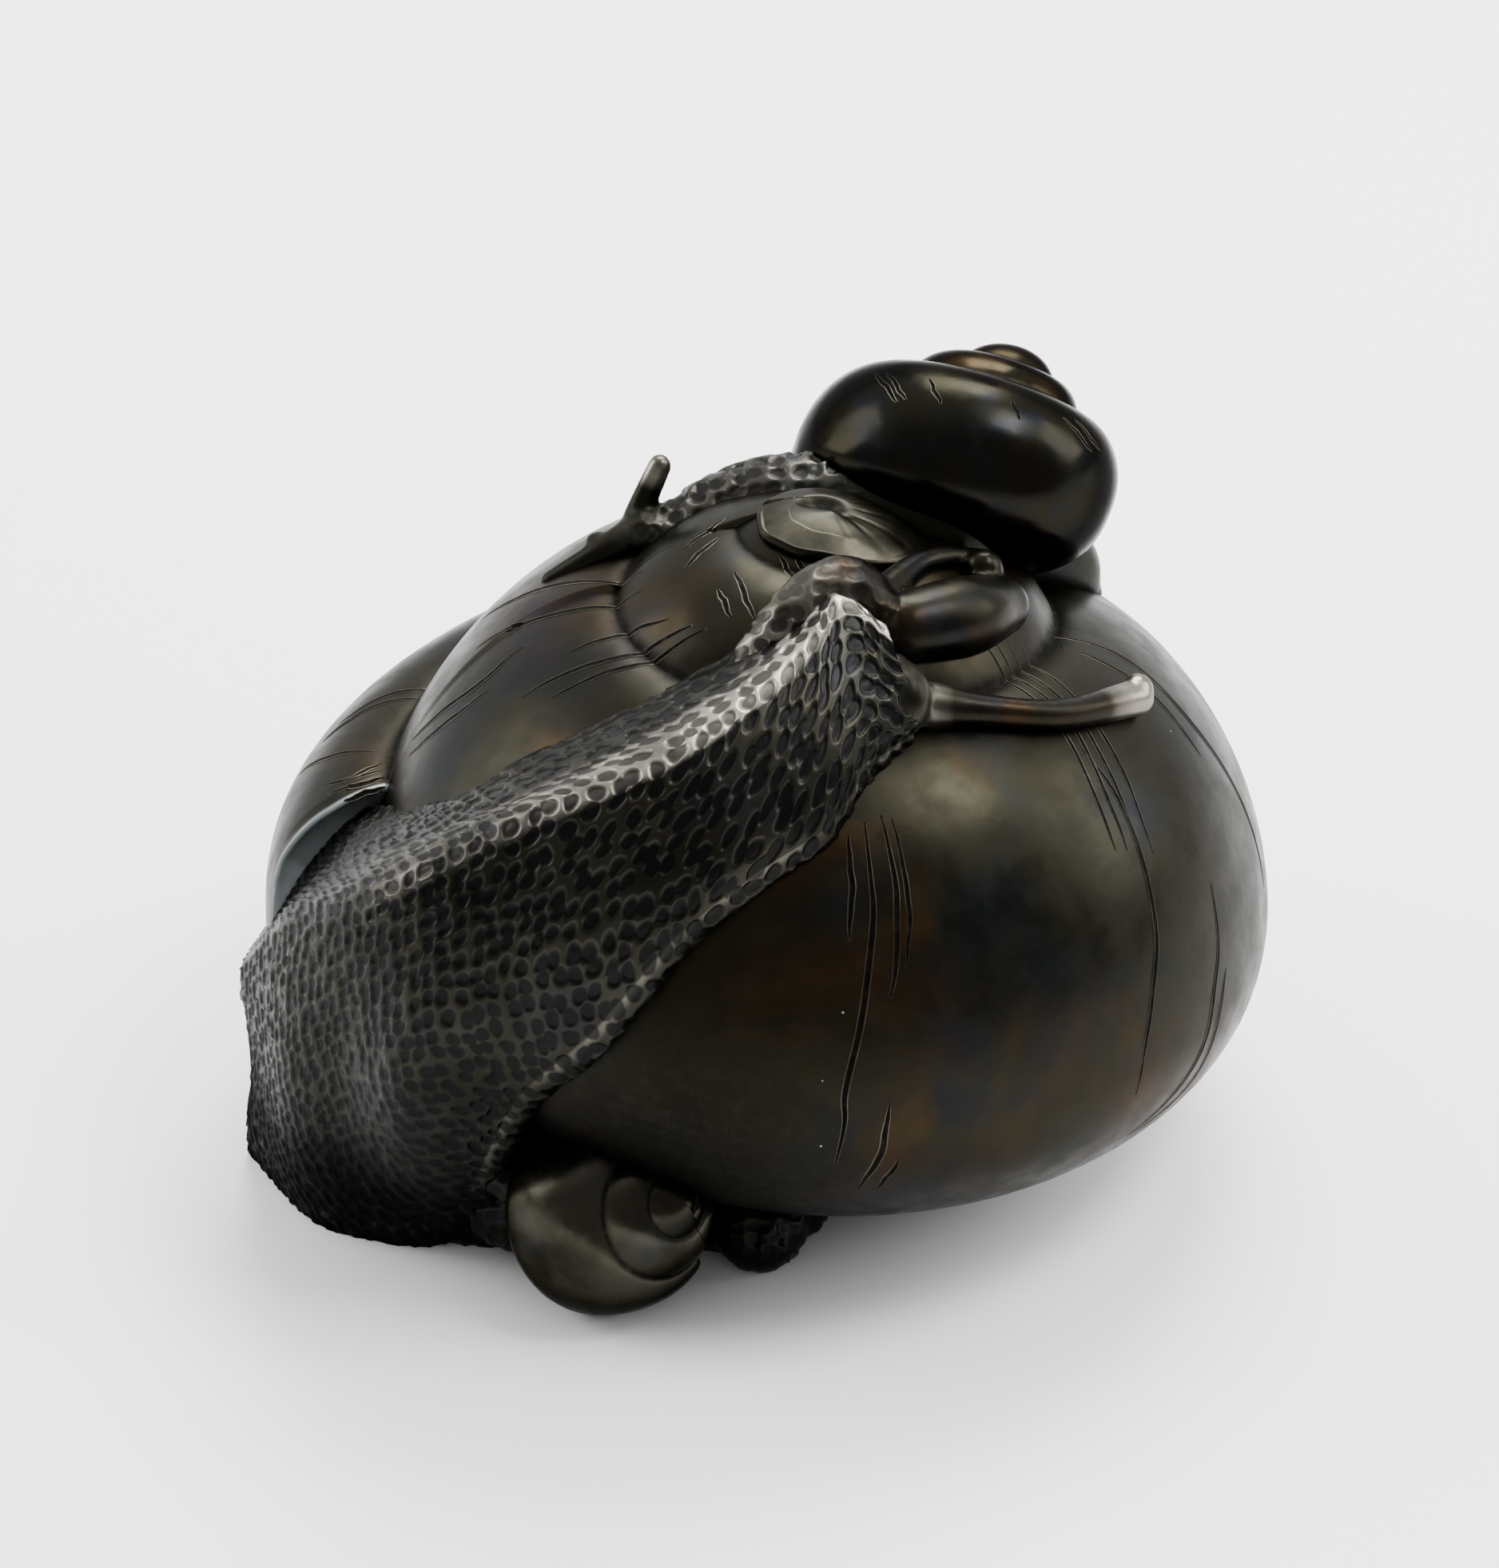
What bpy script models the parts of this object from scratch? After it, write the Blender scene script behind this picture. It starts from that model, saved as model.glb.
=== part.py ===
"""Bronze snail okimono: a big land snail that folds back over its own shell, a second snail that
crawls on its shell and a small one tucked under it in front, all cast as one bronze group.

The origin is on the ground under the middle of the big shell. +Z is up, +X runs to the shell's
round side and -Y is the front, where the big snail's head lies back over the shell.
"""
import math

import bmesh
import bpy
import numpy as np
from mathutils import Matrix, Vector
from mathutils.bvhtree import BVHTree

MM = 0.001

# The big shell, a low left-handed spiral whose mouth opens at the front left
SHELL_RADIUS = 37.2 * MM
SHELL_HEIGHT = 57.0 * MM
SHELL_WIDEST_HEIGHT = 21.0 * MM
SHELL_LEAN = 3.0
MOUTH_AZIMUTH = 184.0
MOUTH_FLARE = 7.0 * MM
MOUTH_DEPTH = 6.0 * MM

# The big snail's foot, a fleshy band laid over the front of the shell
FOOT_RIDGE = 7.0 * MM
SKIRT_THICKNESS = 1.2 * MM
TENTACLE_RADIUS = 1.5 * MM
FAR_TENTACLE_RADIUS = 1.3 * MM
EYE_RADIUS = 1.6 * MM

# The snail on top
TOP_SHELL_RADIUS = 15.3 * MM
TOP_SHELL_HEIGHT = 18.5 * MM
TOP_NECK_RADIUS = 4.2 * MM

# The small snail in front
SMALL_SHELL_RADIUS = 8.2 * MM
SMALL_SHELL_HEIGHT = 15.0 * MM
SMALL_HEAD_RADIUS = 4.0 * MM

# The flat that the group stands on is this far up from the lowest point of the casting
FOOT_FLAT = 0.8 * MM

# Faces along one whorl, and down one whorl
COLUMNS = 36
WHORL_ROWS = 4
BODY_ROWS = 4
BASE_ROWS = 6

# Grain of the skin that joins the forms, the triangles it is thinned to, and the least edge kept
SKIN_GRAIN = 0.4 * MM
TRIANGLES = 9400
SLIVER = 0.01 * MM
# Points this near the ground are set on it
GROUND_SNAP = 0.12 * MM

SHELL_CENTRE_HEIGHT = 0.447 * SHELL_HEIGHT

# How far the lip runs on past a straight mouth, in shares of its shear, from the suture to the base
LIP_LINE = ((0, 0.15, 0.35, 0.6, 1), (0, -0.25, -0.15, 0.35, 1))


def seat(azimuth, latitude, lift=0.0):
    """The point over the big shell at an azimuth and latitude, lifted off it along its radius."""
    a = SHELL_RADIUS + lift
    c = SHELL_CENTRE_HEIGHT + lift
    az, lat = math.radians(azimuth), math.radians(latitude)
    return np.array([
        a * math.cos(az) * math.cos(lat),
        a * math.sin(az) * math.cos(lat),
        SHELL_CENTRE_HEIGHT + c * math.sin(lat),
    ])


def spline(points, count):
    """A smooth curve of so many points through a few, whole segments at a time."""
    points = np.asarray(points, float)
    ends = 2 * points[[0, -1]] - points[[1, -2]]
    pts = np.vstack([ends[:1], points, ends[1:]])
    places = np.linspace(0, len(points) - 1, count)
    seg = np.minimum(places.astype(int), len(points) - 2)
    t = (places - seg).reshape((-1,) + (1,) * (pts.ndim - 1))
    a, b, c, d = (pts[seg + k] for k in range(4))
    return 0.5 * (2 * b + (c - a) * t + (2 * a - 5 * b + 4 * c - d) * t**2 + (3 * b - a - 3 * c + d) * t**3)


def soft_min(a, b, hardness=12.0):
    """The smaller of two lengths, with a round change from one to the other."""
    return (a**-hardness + b**-hardness) ** (-1 / hardness)


def add_mesh(name, verts, faces):
    """A closed mesh object with its faces turned outwards."""
    mesh = bpy.data.meshes.new(name)
    mesh.from_pydata([tuple(v) for v in verts], [], faces)
    bm = bmesh.new()
    bm.from_mesh(mesh)
    bmesh.ops.remove_doubles(bm, verts=bm.verts, dist=SLIVER)
    bmesh.ops.recalc_face_normals(bm, faces=bm.faces)
    if bm.calc_volume(signed=True) < 0:
        bmesh.ops.reverse_faces(bm, faces=bm.faces)
    bm.to_mesh(mesh)
    bm.free()
    obj = bpy.data.objects.new(name, mesh)
    return obj


def spiral_shell(name, radius, height, widest, flare, mouth_azimuth, mouth_depth, turns, growth=2.25,
                 start=0.92, oval=0.12, doming=1.54, fullness=1.7, suture=68.0, boxiness=1.9, shear=32.0,
                 lip_fullness=0.0):
    """A left-handed snail shell, apex up, growing counter-clockwise to its mouth.

    Each whorl hangs from the suture on the whorl before it. Its section is a quarter ellipse out to the
    widest line, and the last whorl's section goes on round the base to the axis.
    """
    columns = int(turns * COLUMNS) + 1
    grown = (np.arange(columns) - (columns - 1)) / COLUMNS
    azimuth = np.radians(mouth_azimuth) + 2 * math.pi * grown
    opening = np.clip(grown + 1, 0, 1) ** 1.6
    spiral = start * radius * growth ** (grown + 1) * (1 - oval * np.cos(azimuth))
    widest_r = soft_min(spiral, radius + flare * opening)
    widest_z = height - (height - widest) * (soft_min(spiral, radius) / radius) ** doming
    down = np.radians(np.linspace(0, suture, WHORL_ROWS + 1))
    top = np.zeros((columns, 2))
    top[:, 1] = height
    section = np.zeros((columns, WHORL_ROWS + 1, 2))
    for i in range(columns):
        if i >= COLUMNS:
            top[i] = section[i - COLUMNS, -1]
        power = 2 / (fullness + lip_fullness * opening[i] ** 3)
        section[i, :, 0] = top[i, 0] + (widest_r[i] - top[i, 0]) * np.sin(down) ** power
        section[i, :, 1] = widest_z[i] + (top[i, 1] - widest_z[i]) * np.cos(down) ** power

    last = range(columns - 1 - COLUMNS, columns)
    body = np.radians(np.linspace(suture, 90, BODY_ROWS + 1))[1:]
    base = np.radians(np.linspace(0, 90, BASE_ROWS + 1))[1:]
    lower = {}
    for i in last:
        square = boxiness + 1.6 * opening[i]
        power = 2 / (fullness + lip_fullness * opening[i] ** 3)
        upper = np.stack([
            top[i, 0] + (widest_r[i] - top[i, 0]) * np.sin(body) ** power,
            widest_z[i] + (top[i, 1] - widest_z[i]) * np.abs(np.cos(body)) ** power,
        ], 1)
        under = np.stack([
            widest_r[i] * np.cos(base) ** (2 / square),
            widest_z[i] * (1 - np.sin(base) ** (2 / square)),
        ], 1)
        lower[i] = np.vstack([upper, under])

    verts = [(0.0, 0.0, height), (0.0, 0.0, 0.0)]
    rows_all = WHORL_ROWS + BODY_ROWS + BASE_ROWS
    index = {}

    def place(i, row, r, z):
        turn = azimuth[i] + math.radians(shear) * opening[i] * np.interp(row / rows_all, *LIP_LINE)
        verts.append((r * math.cos(turn), r * math.sin(turn), z))
        index[i, row] = len(verts) - 1

    for i in range(columns):
        for row in range(WHORL_ROWS + 1):
            if row == 0:
                index[i, 0] = 0 if i < COLUMNS else index[i - COLUMNS, WHORL_ROWS]
            else:
                place(i, row, *section[i, row])
    for i in last:
        for k, (r, z) in enumerate(lower[i][:-1]):
            place(i, WHORL_ROWS + 1 + k, r, z)
        index[i, rows_all] = 1

    faces = [tuple([0] + [index[0, row] for row in range(1, WHORL_ROWS + 1)])]
    for i in range(columns - 1):
        rows = rows_all if i in last else WHORL_ROWS
        for row in range(rows):
            ring = [index[i, row], index[i + 1, row], index[i + 1, row + 1], index[i, row + 1]]
            faces.append(tuple(dict.fromkeys(ring)))

    end, start = columns - 1, columns - 1 - COLUMNS
    loop = [index[end, row] for row in range(rows_all)] + [1]
    loop += [index[start, row] for row in range(rows_all - 1, WHORL_ROWS, -1)]
    edge = np.array([verts[k] for k in loop])
    middle = edge.mean(0)
    inward = np.array([math.sin(azimuth[end]), -math.cos(azimuth[end]), 0.0])
    before = loop
    for share, depth in ((0.04, 0.15), (0.10, 0.6), (0.35, 0.95), (0.7, 1.0)):
        ring = edge + (middle - edge) * share + inward * mouth_depth * depth
        now = list(range(len(verts), len(verts) + len(loop)))
        verts.extend(tuple(p) for p in ring)
        for k in range(len(loop)):
            nxt = (k + 1) % len(loop)
            faces.append((before[k], before[nxt], now[nxt], now[k]))
        before = now
    verts.append(tuple(middle + inward * mouth_depth))
    for k in range(len(loop)):
        faces.append((before[k], before[(k + 1) % len(loop)], len(verts) - 1))
    return add_mesh(name, verts, faces)


def loft(name, sections):
    """A closed body through rings of points, with a fan over each end."""
    sections = np.asarray(sections)
    count, around = sections.shape[:2]
    verts = [tuple(p) for ring in sections for p in ring]
    faces = []
    for i in range(count - 1):
        for k in range(around):
            n = (k + 1) % around
            faces.append((i * around + k, i * around + n, (i + 1) * around + n, (i + 1) * around + k))
    for ring in (0, count - 1):
        verts.append(tuple(sections[ring].mean(0)))
        for k in range(around):
            faces.append((ring * around + k, ring * around + (k + 1) % around, len(verts) - 1))
    return add_mesh(name, verts, faces)


def tube(name, points, radii, sides=8, rings=12, flat=1.0):
    """A round limb along a few points, with a radius at each and rounded ends."""
    path = spline(points, rings)
    girth = spline(np.asarray(radii).reshape(-1, 1), rings)[:, 0]
    along = np.gradient(path, axis=0)
    along /= np.linalg.norm(along, axis=1)[:, None]
    rings_out = []
    side = np.cross(along[0], [0, 0, 1.0])
    cap = [(math.radians(a), -1) for a in (80, 45)], [(math.radians(a), 1) for a in (45, 80)]
    order = [(0, math.cos(a), math.sin(a) * s) for a, s in cap[0]]
    order += [(i, 1.0, 0.0) for i in range(rings)]
    order += [(rings - 1, math.cos(a), math.sin(a) * s) for a, s in cap[1]]
    for i, shrink, push in order:
        side -= along[i] * side.dot(along[i])
        side /= np.linalg.norm(side)
        up = np.cross(side, along[i])
        centre = path[i] + along[i] * girth[i] * push
        turn = np.linspace(0, 2 * math.pi, sides, endpoint=False)
        ring = [centre + girth[i] * shrink * (side * math.cos(a) + up * flat * math.sin(a)) for a in turn]
        rings_out.append(ring)
    return loft(name, rings_out)


def lump(name, centre, radii, turn=0.0, lean=0.0, segments=14, rings=8):
    """A swelling of the flesh: a ball stretched to three radii and turned about Z, then leaned about Y."""
    bm = bmesh.new()
    bmesh.ops.create_uvsphere(bm, u_segments=segments, v_segments=rings, radius=1.0)
    place = Matrix.Translation(Vector(centre)) @ Matrix.Rotation(math.radians(turn), 4, "Z")
    place = place @ Matrix.Rotation(math.radians(lean), 4, "Y") @ Matrix.Diagonal(Vector((*radii, 1.0)))
    bmesh.ops.transform(bm, matrix=place, verts=bm.verts)
    mesh = bpy.data.meshes.new(name)
    bm.to_mesh(mesh)
    bm.free()
    return bpy.data.objects.new(name, mesh)


def set_on_axis(obj, base, axis, mouth, hand=1):
    """Stands a shell on a base point, with its apex along an axis and its mouth on one side of it."""
    up = Vector(axis).normalized()
    side = (Vector(mouth) - up * Vector(mouth).dot(up)).normalized()
    turn = Matrix((side, up.cross(side) * hand, up)).transposed().to_4x4()
    obj.data.transform(Matrix.Translation(Vector(base)) @ turn)
    if hand < 0:
        obj.data.flip_normals()
    return obj


def big_shell():
    obj = spiral_shell("big_shell", SHELL_RADIUS, SHELL_HEIGHT, SHELL_WIDEST_HEIGHT, MOUTH_FLARE,
                       MOUTH_AZIMUTH, MOUTH_DEPTH, turns=4, boxiness=1.7, lip_fullness=0.5)
    middle = Vector((0, 0, SHELL_CENTRE_HEIGHT))
    lean = Matrix.Rotation(math.radians(SHELL_LEAN), 4, "Y")
    obj.data.transform(Matrix.Translation(middle) @ lean @ Matrix.Translation(-middle))
    obj.data.transform(Matrix.Translation(Vector((0.01 * SHELL_RADIUS, 0, 0))))
    return obj


# Rails of the foot from the shell's mouth to the head: azimuth, latitude and lift in ridge heights
UPPER_EDGE = ((181, -8, 0.7), (183, 2, 0.3), (187, 12, 0.0), (196, 21, -0.2), (212, 33, 0.1), (218, 43, 0.1),
              (226, 53, 0.1), (238, 65, 0.1), (243, 77, 0.1), (270, 80, 0.15), (301, 73, 0.2))
RIDGE = ((190, -12, 1.45), (203, 4, 1.0), (219, 20, 1.05), (228, 30, 1.0), (235, 37, 1.0), (242, 42, 1.0),
         (252, 49, 1.0), (261, 56, 1.0), (271, 62, 1.0), (281, 66, 1.05), (291, 61, 0.85))
BELLY = ((191, -23, 1.8), (206, -14, 1.4), (215, -8, 1.0), (226, -3, 1.0), (236, 14, 0.6), (243, 25, 0.6),
         (253, 36, 0.6), (264, 44, 0.6), (273, 50, 0.6), (282, 56, 0.6), (293, 57, 0.5))
SKIRT = ((190, -34, 2.65), (204, -36, 2.35), (212, -40, 2.0), (221, -40, 1.2), (235, -13, 0.2), (246, 6, 0.1),
         (255, 25, 0.1), (265, 36, 0.1), (274, 42, 0.1), (282, 50, 0.1), (293, 55, 0.1))


def foot_sections(count, around):
    """Rings round the foot: up over the ridge from the upper edge, down to the skirt and back below."""
    rails = [np.array([seat(az, lat, lift * FOOT_RIDGE) for az, lat, lift in rail])
             for rail in (UPPER_EDGE, RIDGE, BELLY, SKIRT)]
    upper, ridge, belly, skirt = (spline(rail, count) for rail in rails)
    middle = np.array([0, 0, SHELL_CENTRE_HEIGHT])
    round_out = (1, 1, SHELL_RADIUS / SHELL_CENTRE_HEIGHT)
    rings = []
    for u, r, b, s in zip(upper, ridge, belly, skirt):
        def out(p):
            d = (p - middle) * round_out
            return d / np.linalg.norm(d)
        back = (u + r) / 2
        low = (u + s) / 2
        standing_off = max(np.linalg.norm((low - middle) * round_out) - SHELL_RADIUS, 0)
        cage = [
            u - out(u) * 2 * SKIRT_THICKNESS,
            u,
            back + out(back) * 0.10 * FOOT_RIDGE,
            r,
            b,
            s + (b - s) * 0.15 + out(s) * 0.4 * SKIRT_THICKNESS,
            s - out(s) * 2 * SKIRT_THICKNESS,
            low - out(low) * (0.9 * FOOT_RIDGE + standing_off),
        ]
        cage = np.array(cage)
        closed = np.vstack([cage[-1:], cage, cage[:2]])
        fine = spline(closed, (len(closed) - 1) * around + 1)[around:-around * 2]
        rings.append(fine)
    return np.array(rings)


def on_shell(shell, azimuth, latitude, lift=0.0):
    """The point at a lift off the shell's real surface, along the radius that seat uses."""
    base = Vector(seat(azimuth, latitude))
    out = (Vector(seat(azimuth, latitude, SHELL_RADIUS)) - base).normalized()
    found = shell.ray_cast(base + out * SHELL_RADIUS, -out)[0]
    return np.array(found + out * lift)


def big_snail(shell):
    parts = [loft("foot", foot_sections(31, 3))]
    r = SHELL_RADIUS
    in_mouth = np.array([(-0.66, -0.34, 0.06), (-0.80, -0.23, 0.24), (-0.92, -0.08, 0.42)]) * r
    parts.append(tube("body", in_mouth, [0.23 * r, 0.18 * r, 0.10 * r], sides=10))
    r = FOOT_RIDGE
    hood = [on_shell(shell, 256.8, 66.9, 0.12 * r), on_shell(shell, 269.2, 71.6, 0.18 * r),
            on_shell(shell, 285.5, 73.8, 0.22 * r), on_shell(shell, 293.8, 71.5, 0.14 * r)]
    parts.append(tube("head_top", hood, [0.24 * r, 0.34 * r, 0.38 * r, 0.33 * r], sides=10))
    parts.append(lump("mouth", seat(294, 60, 0.4 * r), (0.40 * r, 0.65 * r, 0.6 * r), 20, 10))
    cheek = [on_shell(shell, 298, 69.5, 0.06 * r), on_shell(shell, 306, 69, 0.12 * r),
             on_shell(shell, 324, 66.5, 0.16 * r), on_shell(shell, 346, 63.5, 0.08 * r)]
    parts.append(tube("cheek", cheek, [0.30 * r, 0.32 * r, 0.34 * r, 0.26 * r], sides=10))
    r = TENTACLE_RADIUS
    near = [on_shell(shell, 300, 59, 0.8 * r), on_shell(shell, 311, 55.5, 0.7 * r),
            on_shell(shell, 325, 50, 0.7 * r), on_shell(shell, 343, 44, 0.7 * r)]
    parts.append(tube("near_tentacle", near, [1.2 * r, r, r, 1.1 * r]))
    r = FAR_TENTACLE_RADIUS
    far = [on_shell(shell, 301, 73.5, 0.6 * r), on_shell(shell, 329, 75.4, 0.75 * r),
           on_shell(shell, 345, 73.2, 0.75 * r), on_shell(shell, 353, 69.5, 0.75 * r)]
    parts.append(tube("far_tentacle", far, [1.3 * r, r, r, r]))
    parts.append(lump("eye", on_shell(shell, 346, 69, 0.6 * EYE_RADIUS), (EYE_RADIUS,) * 3,
                      segments=10, rings=6))
    return parts


def top_snail(under):
    base = np.array([0.317, 0.206, 1.294]) * SHELL_RADIUS
    growth = 1.75
    shell = spiral_shell("top_shell", TOP_SHELL_RADIUS, TOP_SHELL_HEIGHT, 0.26 * TOP_SHELL_HEIGHT,
                         0.13 * TOP_SHELL_RADIUS, 0, 0.15 * TOP_SHELL_RADIUS, turns=3.5, growth=growth,
                         start=1 / growth, oval=0, doming=1.0, fullness=2.1, suture=62, shear=0)
    set_on_axis(shell, base, axis=(0.350, 0.552, 0.757), mouth=(-0.95, 0.3, 0), hand=-1)
    r = TOP_NECK_RADIUS
    neck = [on_shell(under, 30, 72, -0.25 * r), on_shell(under, 90, 80, -0.5 * r),
            on_shell(under, 125, 76, -0.48 * r), on_shell(under, 150, 71, -0.35 * r)]
    tail = [on_shell(under, 40, 70, -0.5 * r), on_shell(under, 36, 58), on_shell(under, 34, 46, 0.3 * r),
            on_shell(under, 33, 38, -0.1 * r)]
    stub = [on_shell(under, 154, 71, -0.15 * r), on_shell(under, 149, 71, 0.55 * r),
            on_shell(under, 139, 70, 1.16 * r)]
    feeler = [on_shell(under, 156, 70, 0.15 * r), on_shell(under, 165, 65),
              on_shell(under, 169, 58, -0.1 * r)]
    return [
        shell,
        tube("top_neck", neck, [1.5 * r, 1.1 * r, 1.0 * r, 0.8 * r], sides=10),
        tube("top_tail", tail, [1.5 * r, 1.2 * r, 0.8 * r, 0.3 * r], sides=10),
        tube("top_stub", stub, [0.5 * r, 0.32 * r, 0.28 * r]),
        tube("top_feeler", feeler, [0.5 * r, 0.35 * r, 0.25 * r]),
    ]


def small_snail():
    base = np.array([-0.489, -0.637, 0.159]) * SHELL_RADIUS
    shell = spiral_shell("small_shell", SMALL_SHELL_RADIUS, SMALL_SHELL_HEIGHT, 0.28 * SMALL_SHELL_HEIGHT,
                         0.05 * SMALL_SHELL_RADIUS, 0, 0.15 * SMALL_SHELL_RADIUS, turns=3, growth=1.95,
                         start=0.85, oval=0, doming=1.5, fullness=2.1, suture=62, shear=0)
    set_on_axis(shell, base, axis=(0.60, -0.62, 0.505), mouth=(0.6, 0, -0.8))
    r = SMALL_HEAD_RADIUS
    head = np.array([-0.086, -0.629, 0.121]) * SHELL_RADIUS
    far_lobe = head + np.array([0.6, 0.75, 0.0]) * r
    back = head + np.array([-1.2, 1.0, -0.2]) * r
    tail = head + np.array([-6.0, 1.0, -0.4]) * r
    return [
        shell,
        lump("small_head", head, (r, 0.95 * r, 1.05 * r), segments=12, rings=8),
        lump("small_cheek", far_lobe, (0.85 * r, 0.8 * r, 0.9 * r), segments=12, rings=8),
        lump("small_back", base + np.array([0, 0.8, -0.1]) * r, (2.5 * r, 1.5 * r, 1.4 * r)),
        lump("small_mantle", base + np.array([-1.0, 0.2, 1.15]) * r, (0.9 * r, 1.3 * r, 0.75 * r), lean=-15),
        tube("small_foot", [tail, (tail + back) / 2, back, head], [0.75 * r, r, r, 0.8 * r], sides=10),
    ]


def applied(obj, name):
    """The object's mesh with its modifiers worked out."""
    bpy.context.view_layer.update()
    mesh = bpy.data.meshes.new_from_object(obj.evaluated_get(bpy.context.evaluated_depsgraph_get()))
    mesh.name = name
    obj.modifiers.clear()
    obj.data = mesh
    return mesh


def cast_in_one(name, parts):
    """One skin round all the forms, thinned to the triangle count, with the flat that it stands on."""
    bm = bmesh.new()
    for form in parts:
        bm.from_mesh(form.data)
        bpy.data.objects.remove(form, do_unlink=True)
    mesh = bpy.data.meshes.new(name)
    bm.to_mesh(mesh)
    bm.free()
    body = bpy.data.objects.new(name, mesh)
    group.objects.link(body)
    skin = body.modifiers.new("one_skin", "REMESH")
    skin.mode = "VOXEL"
    skin.voxel_size = SKIN_GRAIN
    keep_outer_skin(applied(body, name))
    thin = body.modifiers.new("thin_out", "DECIMATE")
    thin.decimate_type = "COLLAPSE"
    thin.use_collapse_triangulate = True
    thin.ratio = min(1.0, TRIANGLES / (2 * len(body.data.vertices)))
    keep_outer_skin(applied(body, name))

    bm = bmesh.new()
    bm.from_mesh(body.data)
    for v in bm.verts:
        if abs(v.co.z) < GROUND_SNAP:
            v.co.z = 0
    bm.to_mesh(body.data)
    bm.clear()
    reach = 4 * SHELL_RADIUS
    bmesh.ops.create_cube(bm, size=reach)
    bmesh.ops.translate(bm, vec=(0, 0, -reach / 2), verts=bm.verts)
    block = bpy.data.meshes.new("ground")
    bm.to_mesh(block)
    bm.free()
    ground = bpy.data.objects.new("ground", block)
    cutters.objects.link(ground)
    ground.hide_render = True
    ground.display_type = "WIRE"
    cut = body.modifiers.new("stand_flat", "BOOLEAN")
    cut.operation = "DIFFERENCE"
    cut.solver = "EXACT"
    cut.object = ground
    keep_outer_skin(applied(body, name))
    bpy.data.objects.remove(ground, do_unlink=True)
    return body


def keep_outer_skin(mesh):
    """Drops slivers and any pocket sealed inside, so that one closed skin is left."""
    bm = bmesh.new()
    bm.from_mesh(mesh)
    bmesh.ops.remove_doubles(bm, verts=bm.verts, dist=SLIVER)
    bmesh.ops.dissolve_degenerate(bm, edges=bm.edges, dist=SLIVER)
    bmesh.ops.triangulate(bm, faces=bm.faces)
    bmesh.ops.holes_fill(bm, edges=bm.edges, sides=4)
    bmesh.ops.triangulate(bm, faces=bm.faces)
    left = set(bm.verts)
    skins = []
    while left:
        skin, front = set(), {next(iter(left))}
        while front:
            skin |= front
            front = {e.other_vert(v) for v in front for e in v.link_edges} - skin
        left -= skin
        skins.append(skin)
    biggest = max(skins, key=len)
    bmesh.ops.delete(bm, geom=[v for v in bm.verts if v not in biggest], context="VERTS")
    bmesh.ops.recalc_face_normals(bm, faces=bm.faces)
    bm.to_mesh(mesh)
    bm.free()


def bronze():
    """Dark brown patinated bronze."""
    material = bpy.data.materials.new("bronze_dark_patina")
    material.use_nodes = True
    shader = material.node_tree.nodes["Principled BSDF"]
    shader.inputs["Base Color"].default_value = (0.028, 0.022, 0.015, 1.0)
    shader.inputs["Metallic"].default_value = 0.9
    shader.inputs["Roughness"].default_value = 0.38
    return material


for old in list(bpy.data.objects):
    bpy.data.objects.remove(old, do_unlink=True)

group = bpy.data.collections.new("bronze_snail_okimono")
cutters = bpy.data.collections.new("forms")
bpy.context.scene.collection.children.link(group)
bpy.context.scene.collection.children.link(cutters)

main_shell = big_shell()
shell_tree = BVHTree.FromPolygons([v.co for v in main_shell.data.vertices],
                                  [tuple(face.vertices) for face in main_shell.data.polygons])
casting = [main_shell] + big_snail(shell_tree) + top_snail(shell_tree) + small_snail()
for form in casting:
    form.data.transform(Matrix.Translation(Vector((0, 0, -FOOT_FLAT))))
snail_group = cast_in_one("snail_group", casting)
snail_group.data.materials.clear()
snail_group.data.materials.append(bronze())
snail_group.data.shade_smooth()
snail_group.data.set_sharp_from_angle(angle=math.radians(40))
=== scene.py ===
"""Looks of a cast bronze ornament: a large land snail bends over its own shell, with a small snail
on its top and another at its side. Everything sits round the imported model, in metres, +Z up."""
import math

import bmesh
import bpy
import numpy as np
from mathutils import Matrix, Vector
from mathutils.bvhtree import BVHTree


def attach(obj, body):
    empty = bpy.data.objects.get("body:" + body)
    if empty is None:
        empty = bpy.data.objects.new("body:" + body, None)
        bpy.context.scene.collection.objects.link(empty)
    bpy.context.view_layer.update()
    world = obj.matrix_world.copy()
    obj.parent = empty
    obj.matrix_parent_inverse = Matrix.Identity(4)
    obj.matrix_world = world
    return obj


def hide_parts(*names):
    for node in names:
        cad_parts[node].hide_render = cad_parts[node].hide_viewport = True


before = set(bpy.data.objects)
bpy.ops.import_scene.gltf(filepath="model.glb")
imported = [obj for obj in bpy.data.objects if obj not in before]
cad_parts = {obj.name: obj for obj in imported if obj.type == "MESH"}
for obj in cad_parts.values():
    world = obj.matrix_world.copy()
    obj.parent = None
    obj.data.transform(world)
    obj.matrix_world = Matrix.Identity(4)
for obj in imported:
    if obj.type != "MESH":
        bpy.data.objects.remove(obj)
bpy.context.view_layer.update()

# The big shell. The real piece is a land snail's shell of cast bronze, part of the one casting: whorls
# that coil counter-clockwise from a flat cap, a flared mouth at the left, and growth lines that were
# chiselled into the wax and left sharp.
MM = 0.001
GROUND_CUT = 0.8 * MM
SHELL_RADIUS = 37.2 * MM
SHELL_HEIGHT = 57.0 * MM
SHELL_MIDDLE = 0.447 * SHELL_HEIGHT
SHELL_LEAN = 3.0
# How far the lip has turned forward at each share of its way down
LIP_LINE = ((0, 0.15, 0.35, 0.6, 1), (0, 0.10, 0.17, 0.42, 1))
# The shallow bowl in the mouth: share of the way in from the lip, and depth as a share of the mouth's depth
MOUTH_BOWL = ((-0.005, -0.06), (0.0, -0.12), (0.015, -0.15), (0.03, -0.12), (0.05, -0.03), (0.09, 0.08),
              (0.16, 0.18), (0.3, 0.3), (0.5, 0.38), (0.75, 0.4))


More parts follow.
